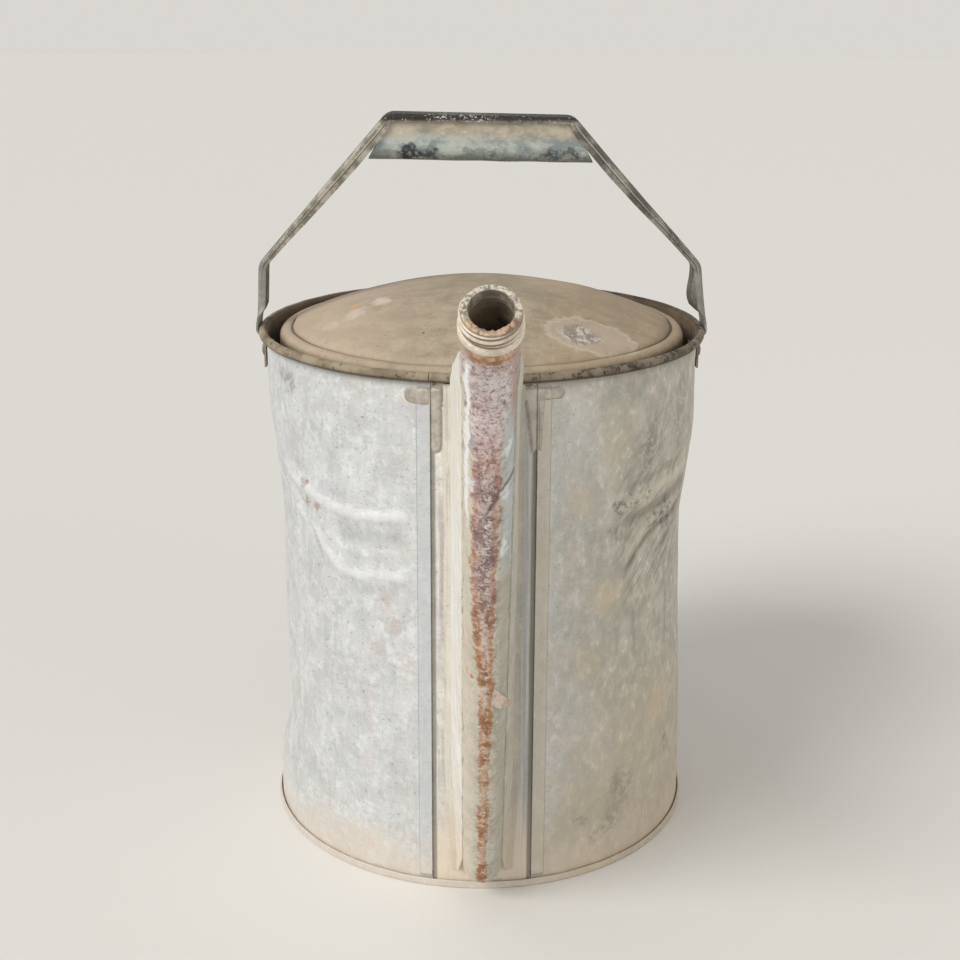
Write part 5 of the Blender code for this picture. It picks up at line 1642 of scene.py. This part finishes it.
def soft_lamp(name, kind, place, power, colour):
    """A lamp that shines from its place towards the middle of the can."""
    lamp = bpy.data.lights.new(name, kind)
    lamp.energy = power
    lamp.color = colour
    obj = bpy.data.objects.new(name, lamp)
    obj.location = place
    obj.rotation_euler = (Vector(LIT_PLACE) - Vector(place)).to_track_quat("-Z", "Y").to_euler()
    bpy.context.scene.collection.objects.link(obj)
    return lamp


def studio():
    """Even air and two lamps; the pale backdrop is what the camera and shiny sheet see behind the can."""
    world = bpy.data.worlds.new("studio_air")
    bpy.context.scene.world = world
    world.use_nodes = True
    nodes, links = world.node_tree.nodes, world.node_tree.links
    air = nodes["Background"]
    air.inputs["Color"].default_value = (*WARM_WHITE, 1.0)
    air.inputs["Strength"].default_value = 0.56
    wall = nodes.new("ShaderNodeBackground")
    wall.inputs["Color"].default_value = shade(217, 214, 209)
    seen = nodes.new("ShaderNodeLightPath")
    share = seen.outputs["Is Camera Ray"]
    for way in ("Is Glossy Ray", "Is Transmission Ray"):
        either = nodes.new("ShaderNodeMath")
        either.operation = "MAXIMUM"
        links.new(share, either.inputs[0])
        links.new(seen.outputs[way], either.inputs[1])
        share = either.outputs[0]
    chosen = nodes.new("ShaderNodeMixShader")
    links.new(share, chosen.inputs[0])
    links.new(air.outputs[0], chosen.inputs[1])
    links.new(wall.outputs[0], chosen.inputs[2])
    links.new(chosen.outputs[0], nodes["World Output"].inputs["Surface"])
    key = soft_lamp("key", "SUN", (-1.5, -1.25, 1.75), 1.90, WARM_WHITE)
    key.angle = math.radians(28)
    fill = soft_lamp("fill", "AREA", (1.6, -1.5, 0.9), 5, (1.0, 0.95, 0.88))
    fill.shape = "DISK"
    fill.size = 1.6


def viewpoint():
    """The photograph's camera."""
    lens = bpy.data.cameras.new("viewpoint")
    lens.sensor_width = 36
    lens.lens = 56.25
    lens.shift_x = -0.001
    camera = bpy.data.objects.new("viewpoint", lens)
    camera.location = in_place(turned(CAMERA_REACH, CAMERA_HEIGHT, CAMERA_ASIDE))
    turn = Matrix.Rotation(CAMERA_ASIDE, 4, "Z") @ Matrix.Rotation(math.pi / 2 - CAMERA_PITCH, 4, "X")
    camera.rotation_euler = (turn @ Matrix.Rotation(CAMERA_ROLL, 4, "Z")).to_euler()
    bpy.context.scene.collection.objects.link(camera)
    bpy.context.scene.camera = camera


def dress_can():
    """Makes every piece with its finish, and paints the one node that the solids give as it is."""
    outside, inside = body_zinc(), inner_zinc()
    body_sheet([outside, inside])
    front_panel_sheet([panel_zinc(), inside])
    bottom_pan_sheet([outside])
    hood_sheet([hood_dust(), inside])
    # One zinc for both gussets, painted as lit and shaded copies: the left pale cream for the light on it,
    # the right grey for the shade on it
    cream = gusset_zinc("lit_left_gusset", (236, 232, 224), (210, 207, 199), (242, 234, 220))
    shaded_grey_gusset = gusset_zinc("shaded_right_gusset", (190, 188, 176), (156, 156, 150), (200, 188, 166))
    torn = gusset_zinc("torn_sheet", (216, 202, 192), (158, 138, 122), (214, 192, 174))
    gusset_sheet("left", -1, [cream])
    gusset_sheet("right", 1, [shaded_grey_gusset])
    spout_pipe([tube_rust(), inside])
    torn_flap([torn])
    spout_thread_ring([ring_cream()])
    spout_band([sleeve_rust()])
    solder = dull_solder()
    seam_solder("left", -1, [solder])
    seam_solder("right", 1, [solder])
    strap = strap_grey()
    strap_handle([strap])
    grip([grip_grey()])
    rear_loop([strap])
    rivets([strap])
    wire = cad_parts["rim_wire"]
    wire.data.materials.clear()
    wire.data.materials.append(rim_wire_rust())


bpy.context.scene.view_settings.view_transform = "Standard"
viewpoint()
studio()
pale_floor()
dress_can()
